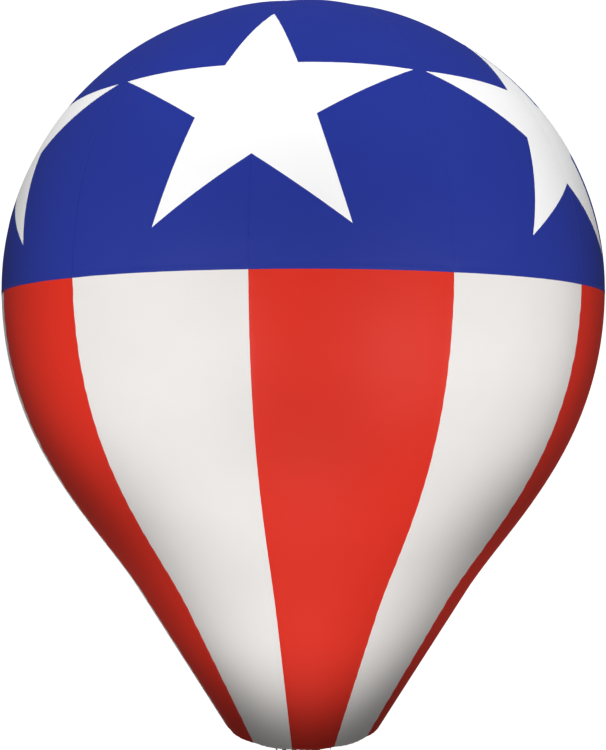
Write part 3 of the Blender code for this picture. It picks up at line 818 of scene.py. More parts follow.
@dataclass
class GoreRing:
    """Gores side by side round the envelope, each a wall with one lapped, welded edge."""

    shape: EnvelopeShape
    low: float
    high: float
    row_step: float = 0.020
    lap: float = 0.0008
    band: tuple[float, ...] = (0.0, 0.003, 0.022, 0.027)
    columns: int = 8
    lap_low: bool = False

    def columns_at(self, width: np.ndarray) -> np.ndarray:
        """Distances across the gore at each row.

        The first four columns keep the weld band's width, and shrink only where the
        gore is under 110 mm wide. The rest spread to the middle as a power of their
        number, and the right half mirrors the left.
        """
        scale = np.minimum(1.0, width / 0.11)[:, None]
        band = np.array(self.band)[None] * scale
        spread = (np.arange(1, self.columns + 1) / self.columns)[None] ** 1.6
        rest = band[:, -1:] + spread * (width[:, None] / 2 - band[:, -1:])
        left = np.hstack([band, rest])
        return np.hstack([left, width[:, None] - left[:, -2::-1]])

    def rows(self) -> np.ndarray:
        """Arc lengths of the rows, with extra ones for a lap along the lower edge."""
        steps = int((self.high - self.low) / self.row_step)
        even_rows = np.linspace(self.low, self.high, steps + 1)
        if not self.lap_low:
            return even_rows
        lap_rows = self.low + np.array(self.band)
        return np.concatenate([lap_rows, even_rows[even_rows > lap_rows[-1] + 0.005]])

    def build(self, index: int, name: str, finish: Finish) -> bpy.types.Object:
        """Make one gore.

        The lap lifts the cloth by its thickness within 22 mm of the right edge, and
        ramps down to nothing at 27 mm. The wall's inner face lies a wall's thickness
        inside, and each end closes onto the middle of the wall.

        Args:
            index: Number of the gore, counted from longitude 0.
            name: CAD node that it stands for.
            finish: Its fabric.

        Returns:
            The gore.
        """
        arc = self.rows()
        width = GORE_ANGLE * self.shape.ring(arc)
        across = self.columns_at(width)
        longitude = GORE_ANGLE * (index + across / width[:, None])
        arcs = np.broadcast_to(arc[:, None], across.shape)
        from_right = width[:, None] - across
        near = from_right
        edge = np.minimum(across, from_right)
        if self.lap_low:
            near = np.minimum(near, arcs - self.low)
            edge = np.minimum(edge, arcs - self.low)
        lift = self.lap * np.clip((self.band[3] - near) / (self.band[3] - self.band[2]), 0, 1)
        outer = self.shape.point(longitude, arcs, lift)
        inner = self.shape.point(longitude, arcs, -self.shape.wall)
        middle = (outer + inner) / 2
        loop = np.concatenate([outer, inner[:, ::-1], outer[:, :1]], axis=1)
        ends = [
            np.concatenate([middle[i], middle[i, ::-1], middle[i, :1]])[None] for i in (0, -1)
        ]
        grid = np.concatenate([ends[0], loop, ends[1]])
        cloth = np.stack([across - width[:, None] / 2, arcs], axis=2)
        cloth = np.concatenate([cloth, cloth[:, ::-1], cloth[:, :1]], axis=1)
        cloth = np.concatenate([cloth[:1], cloth, cloth[-1:]])
        edges = np.concatenate([edge, edge[:, ::-1], edge[:, :1]], axis=1)
        edges = np.concatenate([edges[:1], edges, edges[-1:]])
        piece = Part().add(grid, cloth, edges)
        return piece.build(f"{name}_cloth", finish, ROOT, name)


@dataclass
class StarSet:
    """Six white stars, each wrapped over every other seam of the dome."""

    shape: EnvelopeShape
    reach: float = 0.866
    centre: float = 0.888
    count: int = 6
    lift: float = 0.0014
    thickness: float = 0.0010

    def star(self, number: int) -> bpy.types.Object:
        """Make one star.

        Its flat outline is a regular five-pointed star. A point at share t of the way
        from the middle to the outline, at flat place (u, v), lies at arc length
        centre + v and longitude u / radius there. The top face bends down to the
        dome over the last millimetres.

        Args:
            number: Star number from 1, counted from longitude 0.

        Returns:
            The star.
        """
        inner = math.sin(math.radians(18)) / math.sin(math.radians(54))
        corner = np.arange(11)
        size = np.where(corner % 2 == 0, self.reach, self.reach * inner)
        angle = math.pi / 2 + corner * math.pi / 5
        corners = np.stack([size * np.cos(angle), size * np.sin(angle)], axis=1)
        share = np.linspace(0, 1, 25)[:-1, None]
        outline = (corners[:-1, None] + share * np.diff(corners, axis=0)[:, None]).reshape(-1, 2)
        outline = np.vstack([outline, corners[-1:]])
        to_edge = self.reach * math.cos(math.radians(72))
        inset = np.concatenate([
            np.linspace(to_edge, 0.024, 54), [0.018, 0.009, 0.003, 0.0008, 0.0, 0.0]
        ])
        lift = np.full_like(inset, self.lift)
        lift[-2:] = self.lift - 0.0004, self.lift - self.thickness
        under = np.array([0.0, 0.03, 0.12, to_edge])
        inset = np.concatenate([inset, under])
        lift = np.concatenate([lift, np.full_like(under, self.lift - self.thickness)])
        t = (1 - inset / to_edge)[:, None]
        across, up = t * outline[:, 0], t * outline[:, 1]
        arc = self.centre + up
        middle = (number - 1) * math.tau / self.count
        longitude = middle + across / self.shape.ring(arc)
        grid = self.shape.point(longitude, arc, lift[:, None] + 0.0 * up)
        edge = np.broadcast_to(inset[:, None] * 1.6, across.shape)
        piece = Part().add(grid, np.stack([across, up], axis=2), edge)
        node = f"star_{number}"
        return piece.build(f"{node}_applique", STAR_NYLON, ROOT, node)

    def build(self) -> list[bpy.types.Object]:
        """Make all the stars."""
        return [self.star(number) for number in range(1, self.count + 1)]


@dataclass
class Strap:
    """A length of webbing carried along a flat path, as (outward, up) points."""

    width: float = 0.040
    thickness: float = 0.0028
    step: float = 0.008

    def section(self) -> np.ndarray:
        """Flat oval: straight faces with half-round selvedges."""
        half, edge = self.width / 2, self.thickness / 2
        right = circle((half - edge, 0.0), edge, -90, 90, 6)
        left = circle((-half + edge, 0.0), edge, 90, 270, 6)
        return np.vstack([right, left, right[:1]])

    def add_to(self, part: Part, route: np.ndarray, place: Matrix) -> None:
        """Add the strap to a part.

        Args:
            part: Part that takes the strap.
            route: Rounded path in the local YZ plane, of shape (n, 2).
            place: Where the local frame goes.
        """
        line = even(route, self.step)
        path = np.column_stack([np.zeros(len(line)), line])
        grid = sweep(path, self.section(), np.array([1.0, 0.0, 0.0]), ring=False)
        along = arc_lengths(line)
        along = np.concatenate([along[:1], along, along[-1:]])
        across = self.section()[:, 0]
        cloth = np.stack(np.broadcast_arrays(across[None], along[:, None]), axis=2)
        part.add(placed(grid, place), cloth)


@dataclass
class Stitching:
    """Rows of short thread beads."""

    pitch: float = 0.0045
    radius: float = 0.0006

    def bead(self) -> np.ndarray:
        """One stitch: a thin spindle along X, flattened onto the webbing."""
        along = np.array([-0.42, -0.36, 0.0, 0.36, 0.42]) * self.pitch
        thick = np.array([0.0, 0.8, 1.0, 0.8, 0.0]) * self.radius
        angle = np.linspace(0, math.tau, 7)
        return np.stack(
            np.broadcast_arrays(
                along[:, None], thick[:, None] * np.cos(angle), thick[:, None] * np.sin(angle)
            ), axis=2,
        )

    def frames(self, start: tuple[float, float], end: tuple[float, float],
               lift: float) -> list[Matrix]:
        """Frames of the stitches of one straight row on the local XY plane."""
        a, b = Vector((*start, lift)), Vector((*end, lift))
        count = max(2, int((b - a).length / self.pitch))
        turn = Matrix.Rotation(math.atan2(b.y - a.y, b.x - a.x), 4, "Z")
        return [
            Matrix.Translation(a.lerp(b, (i + 0.5) / count)) @ turn for i in range(count)
        ]


@dataclass
class WireRing:
    """D-ring of round wire: straight bar on local X, bow towards local -Z."""

    wire: float = 0.003
    half_width: float = 0.022
    side: float = 0.012
    corner: float = 0.005

    def grid(self) -> np.ndarray:
        """Round section carried round the D."""
        half, corner = self.half_width, self.corner
        outline = np.vstack([
            circle((-half + corner, -corner), corner, 180, 90, 8),
            circle((half - corner, -corner), corner, 90, 0, 8),
            circle((0.0, -self.side), half, 0, -180, 40),
            [[-half, -corner]],
        ])
        path = np.column_stack([outline[:, 0], np.zeros(len(outline)), outline[:, 1]])
        return sweep(path, circle((0, 0), self.wire, 0, 360, 16), np.array([0.0, 1.0, 0.0]), True)


@dataclass
class WebbingTab:
    """Webbing folded round a D-ring's bar and sewn flat: local +Z away from the cloth."""

    width: float = 0.028
    foot: float = 0.028
    eye_height: float = 0.0095
    thickness: float = 0.0024

    def route(self) -> np.ndarray:
        """Foot, neck, loop round the bar, neck and foot, in the local YZ plane."""
        base = self.thickness / 2 + 0.0003
        turn = 0.0036 + self.thickness / 2
        loop = circle((0.0, self.eye_height), turn, -50, 230, 24)
        right = np.array([[self.foot, base], [0.010, base]])
        return np.vstack([rounded(np.vstack([right, loop[:1]]), 0.003), loop[1:-1],
                          rounded(np.vstack([loop[-1:], right[::-1] * [-1, 1]]), 0.003)])

    def build(self, name: str, place: Matrix) -> list[bpy.types.Object]:
        """Make the tab and its stitches."""
        part = Part()
        Strap(self.width, self.thickness, 0.0016).add_to(part, self.route(), place)
        tab = part.build(f"{name}_webbing", BLACK_WEBBING, ROOT, name)
        stitching = Stitching(0.0035, 0.0005)
        lift = self.thickness + 0.0004
        frames = []
        for side in (-1, 1):
            ys = (side * 0.013, side * 0.025)
            xs = (-self.width / 2 + 0.003, self.width / 2 - 0.003)
            frames += [
                f
                for a, b in (
                    ((xs[0], ys[0]), (xs[1], ys[0])), ((xs[0], ys[1]), (xs[1], ys[1])),
                    ((xs[0], ys[0]), (xs[1], ys[1])), ((xs[0], ys[1]), (xs[1], ys[0])),
                )
                for f in stitching.frames(a, b, lift)
            ]
        thread = Part().add_copies(stitching.bead(), [place @ f for f in frames])
        return [tab, thread.build(f"{name}_stitches", THREAD, ROOT)]


def joint(name: str) -> dict:
    """The frame's joint of that name."""
    return next(j for j in frame["joints"] if j["name"] == name)


@dataclass
class Crown:
    """Patch over the gore tips, with a webbing tab and a D-ring."""

    shape: EnvelopeShape
    patch_radius: float = 0.220
    thickness: float = 0.0016

    def build(self) -> None:
        """Make the patch as rings over the dome, then the tab and its ring."""
        length, outline, _ = self.shape.line
        top = length[-1]
        radii = np.array([
            0.0, 0.03, 0.06, 0.09, 0.12, 0.15, 0.175, 0.195, 0.21, 0.2185, 0.22, 0.22,
        ])
        lift = np.full_like(radii, 0.0008 + self.thickness)
        lift[-2:] = self.thickness, 0.0002
        radii = np.concatenate([radii, [0.1, 0.0]])
        lift = np.concatenate([lift, [0.0002, 0.0002]])
        arc = np.interp(-radii, -outline[-400:, 0], length[-400:])
        longitude = np.linspace(0, math.tau, 121)
        grid = self.shape.point(longitude[None], arc[:, None], lift[:, None] + 0 * longitude)
        grid[radii == 0.0] = grid[radii == 0.0].mean(axis=1, keepdims=True)
        cloth = grid[:, :, :2]
        edge = np.broadcast_to((self.patch_radius - radii)[:, None], grid.shape[:2])
        part = Part().add(grid, cloth, edge)
        part.build("crown_patch_cloth", BLUE_NYLON, ROOT, "crown_patch")
        hinge = joint("crown_ring_swing")["pos_m"]
        seat = Matrix.Translation((0, 0, hinge[2] - WebbingTab.eye_height))
        WebbingTab().build("crown_tab", seat)
        lying = Matrix.Translation(hinge) @ Matrix.Rotation(math.pi / 2, 4, "X")
        ring = Part().add(placed(WireRing().grid(), lying))
        ring.build("crown_ring_wire", ZINC_STEEL, Body.CROWN_RING.value, "crown_ring")
        LOG.info("crown closed at arc length %.3f", top)


@dataclass
class BasePanel:
    """Panel that closes the envelope, with doublers under what is sewn to it."""

    shape: EnvelopeShape
    doubler: float = 0.0006

    def sag(self, radius: np.ndarray, longitude: np.ndarray) -> np.ndarray:
        """Soft radial folds from the six load points, fading to the middle."""
        pull = np.cos(6 * (longitude - math.pi / 6))
        reach = (radius / self.shape.panel_rim) ** 3
        return -0.0015 * reach * pull * np.clip((self.shape.panel_rim - radius) / 0.05, 0, 1)

    def build(self) -> None:
        """Make the panel as rings of a shallow bowl with a wall, then the doublers."""
        rim = self.shape.panel_rim - 0.0003
        outer = np.concatenate([np.linspace(0, rim - 0.03, 22), rim - np.array([0.022, 0.012, 0.003, 0.0])])
        radii = np.concatenate([outer, outer[::-4]])
        radii[-1] = 0.0
        lift = np.concatenate([np.zeros(len(outer)), np.full(len(radii) - len(outer), 0.009)])
        longitude = np.linspace(0, math.tau, 145)[None]
        height = self.shape.panel_height(radii)[:, None] + lift[:, None]
        height = height + self.sag(radii[:, None], longitude)
        grid = np.stack([
            radii[:, None] * np.sin(longitude), -radii[:, None] * np.cos(longitude), height
        ], axis=2)
        edge = np.broadcast_to((rim - radii)[:, None], grid.shape[:2])
        part = Part().add(grid, grid[:, :, :2], edge)
        part.build("base_panel_cloth", WHITE_NYLON, ROOT, "base_panel")
        self.build_doublers()

    def build_doublers(self) -> None:
        """Round fabric doublers under the handling tabs, the relief valve and the straps."""
        part = Part()
        spots = [(math.radians(a), 0.360, 0.050) for a in (60, 120, 240, 300)]
        spots += [(math.radians(a), 0.264, 0.056) for a in range(30, 360, 60)]
        spots += [(math.pi, 0.245, 0.062), (0.0, 0.0, 0.078)]
        profile = np.array([[0.0, 1.0], [0.5, 1.0], [0.97, 1.0], [1.0, 0.6], [1.0, -1.5], [0.0, -1.5]])
        for longitude, radius, size in spots:
            disc = revolve(profile * [size, self.doubler], 48)
            place = self.shape.panel_frame(longitude, radius)
            flat = disc[:, :, :2]
            edge = size - np.linalg.norm(flat, axis=2)
            bowl = self.shape.bulge / self.shape.panel_rim ** 2 * (flat ** 2).sum(axis=2)
            disc[:, :, 2] -= bowl
            part.add(placed(disc, place), flat, edge)
        part.build("base_doublers", WHITE_NYLON, ROOT)


@dataclass
class Bridle:
    """Six straps from the base panel to the clamp plates, with their sewn ends."""

    shape: EnvelopeShape
    count: int = 6
    tongue: float = 0.038
    bend: float = 0.072
    sewn_from: float = 0.232
    sewn_to: float = 0.292

    def route(self) -> np.ndarray:
        """Path of a strap: flat tongue, straight leg and sewn end, with soft bends."""
        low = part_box("bridle_strap_1")[0].z + 0.0015
        lift = 0.0024
        radii = np.array([self.sewn_from, (self.sewn_from + self.sewn_to) / 2, self.sewn_to])
        sewn = np.column_stack([radii, self.shape.panel_height(radii) - lift])
        return rounded(np.vstack([[[self.tongue, low], [self.bend, low]], sewn]), 0.016, 8)

    def build(self) -> None:
        """Make the straps one by one, then all their stitches as one piece."""
        route = self.route()
        stitching = Stitching()
        frames = []
        for number in range(1, self.count + 1):
            longitude = math.tau / self.count * (number - 0.5)
            place = Matrix.Rotation(longitude - math.pi, 4, "Z")
            part = Part()
            Strap().add_to(part, route, place)
            node = f"bridle_strap_{number}"
            part.build(f"{node}_webbing", BLACK_WEBBING, ROOT, node)
            middle = (self.sewn_from + self.sewn_to) / 2 + 0.004
            seat = self.shape.panel_frame(longitude, middle, 0.0040)
            x, y = 0.016, 0.024
            for a, b in (
                ((-x, -y), (x, -y)), ((x, -y), (x, y)), ((x, y), (-x, y)), ((-x, y), (-x, -y)),
                ((-x, -y), (x, y)), ((x, -y), (-x, y)),
            ):
                frames += [seat @ f for f in stitching.frames(a, b, 0.0)]
        thread = Part().add_copies(stitching.bead(), frames)
        thread.build("bridle_stitches", THREAD, ROOT)


@dataclass
class Bolt:
    """Hexagon bolt seen from its head, with a washer: local +Z points out of the head."""

    size: float = 0.008

    def add_to(self, part: Part, places: list[Matrix]) -> None:
        """Add the washer and the head of the bolt at each place."""
        half = self.size / 2
        washer = rounded(np.array([
            [half, 0.0], [self.size * 1.05, 0.0], [self.size * 1.05, self.size * 0.2],
            [half, self.size * 0.2], [half, 0.0],
        ]), 0.0003, 2)
        head = np.array([
            [0.0, 0.2], [0.92, 0.2], [0.94, 0.25], [0.94, 0.78], [0.80, 0.85], [0.0, 0.85],
        ]) * self.size
        part.add_copies(revolve(washer, 32), places)
        part.add_copies(revolve(head, 6), places)


@dataclass
class ClampPlates:
    """Two round plates bolted together over the straps' tongues."""

    radius: float = 0.065
    bolt_radius: float = 0.053

    def build(self) -> None:
        """Turn the plates with soft edges and set six bolts through the straps."""
        for node in ("clamp_plate_lower", "clamp_plate_upper"):
            low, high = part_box(node)
            profile = rounded(np.array([
                [0.0, high.z], [self.radius, high.z], [self.radius, low.z], [0.0, low.z]
            ]), 0.0012)
            Part().add(revolve(profile, 96)).build(f"{node}_disc", ANODISED, ROOT, node)
        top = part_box("clamp_plate_upper")[1].z
        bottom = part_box("clamp_plate_lower")[0].z
        part = Part()
        for number in range(6):
            turn = Matrix.Rotation(math.radians(30 + 60 * number), 4, "Z")
            out = Matrix.Translation((0, -self.bolt_radius, 0))
            up = Matrix.Translation((0, 0, top))
            down = Matrix.Translation((0, 0, bottom)) @ Matrix.Rotation(math.pi, 4, "X")
            Bolt(0.007).add_to(part, [turn @ out @ up, turn @ out @ down])
        part.build("clamp_bolts", ZINC_STEEL, ROOT)


@dataclass
class Swivel:
    """Swivel housing on the envelope and the eye that turns in it."""

    flange: float = 0.030
    barrel: float = 0.022
    bore: float = 0.0095
    eye: float = 0.016
    eye_hole: float = 0.0065
    cheek: float = 0.014
    shank: float = 0.009

    def build(self) -> None:
        """Turn the housing, ring its flange with screws, and make the eye."""
        low, high = (corner.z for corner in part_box("swivel_housing"))
        bore_end = low + 0.0265
        profile = rounded(np.array([
            [0.0, high], [self.flange, high], [self.flange, high - 0.005],
            [self.barrel, high - 0.008], [self.barrel, low + 0.003], [self.barrel - 0.003, low],
            [self.bore, low], [self.bore, bore_end], [0.0, bore_end],
        ]), 0.0012)
        Part().add(revolve(profile, 96)).build("swivel_barrel", ZINC_STEEL, ROOT, "swivel_housing")
        places = [
            Matrix.Rotation(math.radians(60 * i), 4, "Z") @ Matrix.Translation((0, -0.0262, high - 0.0052))
            @ Matrix.Rotation(math.pi, 4, "X")
            for i in range(6)
        ]
        part = Part()
        Bolt(0.003).add_to(part, places)
        part.build("swivel_screws", ZINC_STEEL, ROOT)
        self.build_eye()

    def build_eye(self) -> None:
        """Cheek ring turned about the pin's axis, and a shank that flares into it."""
        centre = Vector(joint("shackle_swing")["pos_m"])
        half = self.cheek / 2
        ring = rounded(np.array([
            [self.eye_hole, 0.0], [self.eye_hole, -half], [self.eye, -half], [self.eye, half],
            [self.eye_hole, half], [self.eye_hole, 0.0],
        ]), 0.002)
        across = Matrix.Translation(centre) @ Matrix.Rotation(math.pi / 2, 4, "Y")
        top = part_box("swivel_eye")[1].z - centre.z
        start = self.eye - 0.004
        shank = rounded(np.array([
            [0.0, start], [0.0065, start], [0.0068, self.eye + 0.002], [self.shank, self.eye + 0.006],
            [self.shank, top], [0.0, top],
        ]), 0.001)
        part = Part()
        part.add(placed(revolve(ring, 72), across))
        part.add(placed(revolve(shank, 64), Matrix.Translation(centre)))
        part.build("swivel_eye_forging", ZINC_STEEL, Body.SWIVEL.value, "swivel_eye")


@dataclass
class Shackle:
    """Bow and headed pin that hold the tether."""

    wire: float = 0.006
    half_width: float = 0.0185
    ear: float = 0.013
    ear_thickness: float = 0.0125
    pin: float = 0.006

    def build(self) -> None:
        """Carry a round section round the bow, set the ears on it, and turn the pin."""
        centre = Vector(joint("shackle_swing")["pos_m"])
        place = Matrix.Translation(centre)
        drop = self.half_width - self.wire - centre.z
        line = np.vstack([
            [[self.half_width, -self.ear + 0.003]],
            circle((0.0, drop), self.half_width, 0, -180, 48),
            [[-self.half_width, -self.ear + 0.003]],
        ])
        path = np.column_stack([line[:, 0], np.zeros(len(line)), line[:, 1]])
        part = Part()
        bow = sweep(path, circle((0, 0), self.wire, 0, 360, 28), np.array([0.0, 1.0, 0.0]), False)
        part.add(placed(bow, place))
        half = self.ear_thickness / 2
        hole = self.pin + 0.0003
        ring = rounded(np.array([
            [hole, 0.0], [hole, -half], [self.ear, -half], [self.ear, half], [hole, half],
            [hole, 0.0],
        ]), 0.002)
        turn = Matrix.Rotation(math.pi / 2, 4, "Y")
        for side in (-1, 1):
            spot = place @ Matrix.Translation((side * self.half_width, 0, 0)) @ turn
            part.add(placed(revolve(ring, 64), spot))
        part.build("shackle_bow_forging", ZINC_STEEL, Body.SHACKLE.value, "shackle_bow")
        low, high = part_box("shackle_pin")
        head = high.x - 0.006
        profile = rounded(np.array([
            [0.0, high.x], [0.009, high.x], [0.009, head], [self.pin, head], [self.pin, low.x],
            [0.0, low.x],
        ]), 0.001)
        pin = placed(revolve(profile, 64), place @ turn)
        Part().add(pin).build("shackle_pin_bar", ZINC_STEEL, Body.SHACKLE.value, "shackle_pin")


@dataclass
class FillValve:
    """Filling neck in the middle of the base panel, with its hinged cap."""

    flange: float = 0.050
    neck: float = 0.030
    bore: float = 0.021
    cap: float = 0.032

    def build(self) -> None:
        """Turn the neck with its grip rings, set the hinge lugs, and make the cap."""
        low, high = (corner.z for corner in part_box("fill_valve"))
        hinge = Vector(joint("fill_cap_hinge")["pos_m"])
        grips = np.array([
            [[self.neck, z + 0.0022], [self.neck + 0.0012, z + 0.0014],
             [self.neck + 0.0012, z - 0.0014], [self.neck, z - 0.0022]]
            for z in (high - 0.016, high - 0.023, high - 0.030)
        ]).reshape(-1, 2)
        profile = rounded(np.vstack([
            [[0.0, high], [self.flange, high], [self.flange, high - 0.004],
             [self.neck + 0.003, high - 0.0055], [self.neck, high - 0.009]],
            grips,
            [[self.neck, low], [self.bore, low], [self.bore, high - 0.008], [0.0, high - 0.008]],
        ]), 0.0008, 3)
        part = Part().add(revolve(profile, 96))
        for x in (-0.013, 0.008):
            part.add(box_grid(
                (x, self.neck - 0.004, low + 0.0005), (x + 0.005, hinge.y + 0.003, low + 0.009), 0.0015
            ))
        rod = rounded(np.array([[0.0, -0.0145], [0.002, -0.0145], [0.002, 0.0145], [0.0, 0.0145]]), 0.0006)
        across = Matrix.Translation(hinge) @ Matrix.Rotation(math.pi / 2, 4, "Y")
        part.add(placed(revolve(rod, 24), across))
        part.build("fill_valve_moulding", VALVE_PLASTIC, ROOT, "fill_valve")
        self.build_cap(hinge, low, across)

    def build_cap(self, hinge: Vector, mouth: float, across: Matrix) -> None:
        """Cap disc with a dished middle, its arm and its knuckle."""
        top, bottom = mouth - 0.0003, mouth - 0.0053
        disc = rounded(np.array([
            [0.0, top], [self.cap, top], [self.cap, bottom], [self.cap - 0.006, bottom],
            [self.cap - 0.008, bottom + 0.0015], [0.0, bottom + 0.0015],
        ]), 0.0010)
        knuckle = rounded(np.array([
            [0.0025, 0.0], [0.0025, -0.007], [0.0045, -0.007], [0.0045, 0.007], [0.0025, 0.007],
            [0.0025, 0.0],
        ]), 0.0006)
        part = Part().add(revolve(disc, 96)).add(placed(revolve(knuckle, 40), across))
        part.add(box_grid(
            (-0.0065, hinge.y - 0.014, bottom + 0.0005), (0.0065, hinge.y - 0.001, top - 0.0004), 0.001
        ))
        part.add(box_grid(
            (-0.0065, hinge.y - 0.0095, bottom + 0.001), (0.0065, hinge.y - 0.003, hinge.z - 0.001), 0.001
        ))
        part.build("fill_cap_moulding", VALVE_PLASTIC, Body.FILL_CAP.value, "fill_cap")


@dataclass
class ReliefValve:
    """Spring relief valve in a closed housing with a vented skirt."""

    shape: EnvelopeShape
    radius: float = 0.245

    def build(self) -> None:
        """Turn the housing and ring it with ribs and screws."""
        place = self.shape.panel_frame(math.pi, self.radius, 0.0008)
        profile = rounded(np.array([
            [0.0, 0.032], [0.006, 0.032], [0.009, 0.0335], [0.020, 0.0335], [0.024, 0.030],
            [0.024, 0.024], [0.030, 0.022], [0.030, 0.006], [0.040, 0.004], [0.040, -0.0005],
            [0.0, -0.0005],
        ]), 0.0012)
        part = Part().add(placed(revolve(profile, 96), place))
        rib = box_grid((-0.0009, 0.0290, 0.007), (0.0009, 0.0312, 0.021), 0.0006)
        frames = [place @ Matrix.Rotation(math.tau * i / 24, 4, "Z") for i in range(24)]
        part.add_copies(rib, frames)
        part.build("relief_valve_moulding", VALVE_PLASTIC, ROOT, "relief_valve")
        screws = Part()
        spots = [
            place @ Matrix.Rotation(math.tau * (i + 0.5) / 6, 4, "Z")
            @ Matrix.Translation((0, 0.0352, 0.0042))
            for i in range(6)
        ]
        Bolt(0.003).add_to(screws, spots)
        screws.build("relief_valve_screws", ZINC_STEEL, ROOT)


@dataclass
class HandlingRings:
    """Four D-rings in webbing tabs round the base."""

    shape: EnvelopeShape
    radius: float = 0.360
    longitudes: tuple[int, ...] = (60, 120, 240, 300)

    def build(self) -> None:
        """Seat each tab so that its eye is on the joint's axis, and hang its ring."""
        for number, degrees in enumerate(self.longitudes, start=1):
            hinge = Vector(joint(f"handling_ring_{number}_swing")["pos_m"])
            longitude = math.radians(degrees)
            tilt = self.shape.panel_frame(longitude, self.radius).to_3x3().to_4x4()
            seat = Matrix.Translation(hinge) @ tilt @ Matrix.Translation((0, 0, -WebbingTab.eye_height))
            WebbingTab().build(f"handling_tab_{number}", seat)
            hang = Matrix.Translation(hinge) @ Matrix.Rotation(longitude, 4, "Z")
            node = f"handling_ring_{number}"
            Part().add(placed(WireRing().grid(), hang)).build(f"{node}_wire", ZINC_STEEL, node, node)


@dataclass(frozen=True)
class Lamp:
    """A soft, feathered spotlight.

    It stands off from a point on the axis, which is `centre` above the widest ring. Its
    azimuth is counted from the camera's side. Its aim is so many metres to the right, to
    the back and up from the point, as the camera sees it.
    """

    name: str
    azimuth: float
    elevation: float
    aim: tuple[float, float, float]
    half_angle: float
    feather: float
    share: float
    glossy: bool = True
    distance: float = 12.0
    softness: float = 0.35
    centre: float = 0.0

    def build(self, front: float, middle: float) -> None:
        """Place the lamp.

        Its power is 4 pi^2 d^2 times its share, at which a matt surface square to the
        light shows that share of its own colour.

        Args:
            front: Longitude of the camera.
            middle: Height of the widest ring.
        """
        data = bpy.data.lights.new(self.name, "SPOT")
        data.energy = 4 * math.pi ** 2 * self.distance ** 2 * self.share
        data.spot_size = 2 * math.radians(self.half_angle)
        data.spot_blend = self.feather
        data.shadow_soft_size = self.softness
        angle = front + math.radians(self.azimuth)
        rise = math.radians(self.elevation)
        reach = self.distance * math.cos(rise)
        height = middle + self.centre
        lamp = bpy.data.objects.new(self.name, data)
        lamp.visible_glossy = self.glossy
        lamp.location = (
            reach * math.sin(angle), -reach * math.cos(angle),
            height + self.distance * math.sin(rise),
        )
        aim = Matrix.Rotation(front, 3, "Z") @ Vector(self.aim) + Vector((0, 0, height))
        lamp.rotation_euler = (aim - lamp.location).to_track_quat("-Z", "Y").to_euler()
        bpy.context.scene.collection.objects.link(lamp)


LAMPS = (
    Lamp("front_high_lamp", 0.0, 40.0, (0.0, 0.0, 2.3), 18.0, 0.62, 0.61, False),
    Lamp("front_low_lamp", 0.0, -45.0, (0.0, 0.0, -0.67), 7.55, 0.97, 0.62),
    Lamp("front_left_lamp", -30.8, -18.0, (0.12, 0.0, 0.42), 8.15, 0.98, 0.63),
    Lamp("front_right_lamp", 30.8, -18.0, (-0.12, 0.0, 0.42), 8.15, 0.98, 0.63),
    Lamp("left_lamp", -85.0, -15.0, (-0.25, 2.58, -1.0), 17.2, 0.4, 0.30, False),
    Lamp("right_lamp", 85.0, -15.0, (0.25, 2.58, -1.0), 17.2, 0.4, 0.30, False),
    Lamp("back_left_lamp", -120.0, 41.7, (0.26, -0.5, 2.0), 17.9, 0.54, 0.28, False),
    Lamp("back_right_lamp", 120.0, 41.7, (-0.26, -0.5, 2.0), 17.9, 0.54, 0.28, False),
    Lamp("back_lamp", 180.0, -16.2, (0.0, 0.0, -0.12), 14.0, 0.53, 0.61),
    *(
        Lamp(f"tether_lamp_{i}", azimuth, -14.0, (0.0, 0.0, 0.0), 3.6, 0.6, 0.85, True, 6.0, 0.12,
             -3.46)
        for i, azimuth in enumerate((-60.0, 60.0, 180.0), start=1)
    ),
    *(
        Lamp(f"base_lamp_{i}", azimuth, -64.0, (0.0, 0.0, 0.0), 4.4, 0.6, 0.32, True, 6.0, 0.12,
             -2.98)
        for i, azimuth in enumerate((-120.0, 0.0, 120.0), start=1)
    ),
)


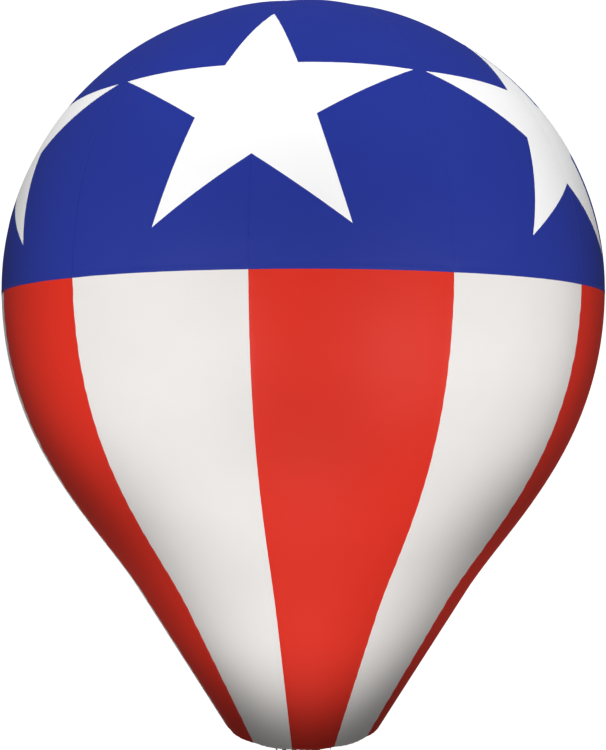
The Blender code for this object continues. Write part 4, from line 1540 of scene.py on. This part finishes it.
@dataclass
class Studio:
    """Pale paper all round, soft lamps, and the camera at the picture's angle."""

    floor_z: float = -12.0
    floor_radius: float = 26.0
    sweep_radius: float = 9.0
    wall_top: float = 6.0
    air: float = 0.12
    azimuth: float = math.radians(7.68)
    distance: float = 6.6
    below_widest: float = 0.567
    focal_px: float = 948.0
    long_side_px: float = 750.0
    horizon_px: float = 377.8
    sensor: float = 36.0

    def build(self, shape: EnvelopeShape) -> None:
        """Make the paper, the world, the lamps and the camera."""
        self.build_paper()
        self.build_world()
        self.build_camera(shape)
        for lamp in LAMPS:
            lamp.build(self.azimuth, shape.widest_z)

    def build_paper(self) -> None:
        """Floor, wall and ceiling as one turned sheet: flat, a curve, upright, then a dome."""
        curve = circle(
            (self.floor_radius, self.floor_z + self.sweep_radius), self.sweep_radius, -90, 0, 16
        )
        wall = self.floor_radius + self.sweep_radius
        dome = circle((0.0, self.wall_top), wall, 0, 90, 24)
        profile = np.vstack([[[0.0, self.floor_z]], curve, dome])
        grid = revolve(profile, 96)
        mesh = bpy.data.meshes.new("studio_paper")
        mesh.from_pydata(
            grid.reshape(-1, 3).tolist(), [], grid_faces(*grid.shape[:2])[:, ::-1].tolist()
        )
        bm = bmesh.new()
        bm.from_mesh(mesh)
        bmesh.ops.remove_doubles(bm, verts=bm.verts, dist=1e-5)
        bm.to_mesh(mesh)
        bm.free()
        mesh.shade_smooth()
        mesh.materials.append(PAPER.material())
        paper = bpy.data.objects.new("studio_paper", mesh)
        bpy.context.scene.collection.objects.link(paper)
        paper.visible_diffuse = False
        paper.visible_glossy = False
        paper.visible_shadow = False

    def build_world(self) -> None:
        """Even, dim light from all round."""
        world = bpy.data.worlds.new("studio_air")
        world.use_nodes = True
        sky = world.node_tree.nodes["Background"]
        sky.inputs["Color"].default_value = linear("#FFFFFF")
        sky.inputs["Strength"].default_value = self.air
        bpy.context.scene.world = world
        bpy.context.scene.view_settings.view_transform = "Standard"

    def build_camera(self, shape: EnvelopeShape) -> None:
        """Level camera, close in, at the height that the picture's seam lines give."""
        data = bpy.data.cameras.new("camera")
        data.sensor_width = self.sensor
        data.lens = self.focal_px / self.long_side_px * self.sensor
        data.shift_y = (self.horizon_px - self.long_side_px / 2) / self.long_side_px
        camera = bpy.data.objects.new("camera", data)
        camera.location = (
            self.distance * math.sin(self.azimuth), -self.distance * math.cos(self.azimuth),
            shape.widest_z - self.below_widest,
        )
        camera.rotation_euler = (math.pi / 2, 0.0, self.azimuth)
        bpy.context.scene.collection.objects.link(camera)
        bpy.context.scene.camera = camera


def main() -> None:
    """Build the balloon from its crown down, then the studio."""
    logging.basicConfig(level=logging.INFO, format="%(name)s: %(message)s")
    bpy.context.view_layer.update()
    shape = EnvelopeShape(base_z=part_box("stripe_gore_red_1")[0].z)
    crown = GoreRing(shape, shape.colour_seam, shape.high, lap_low=True)
    stripes = GoreRing(shape, shape.low, shape.colour_seam)
    for index in range(GORES):
        crown.build(index, f"crown_gore_{index + 1:02d}", BLUE_NYLON)
        colour, finish = ("red", RED_NYLON) if index % 2 == 0 else ("white", WHITE_NYLON)
        stripes.build(index, f"stripe_gore_{colour}_{index // 2 + 1}", finish)
    StarSet(shape).build()
    Crown(shape).build()
    BasePanel(shape).build()
    HandlingRings(shape).build()
    Bridle(shape).build()
    ClampPlates().build()
    Swivel().build()
    Shackle().build()
    FillValve().build()
    ReliefValve(shape).build()
    Studio().build(shape)


if __name__ == "__main__":
    main()
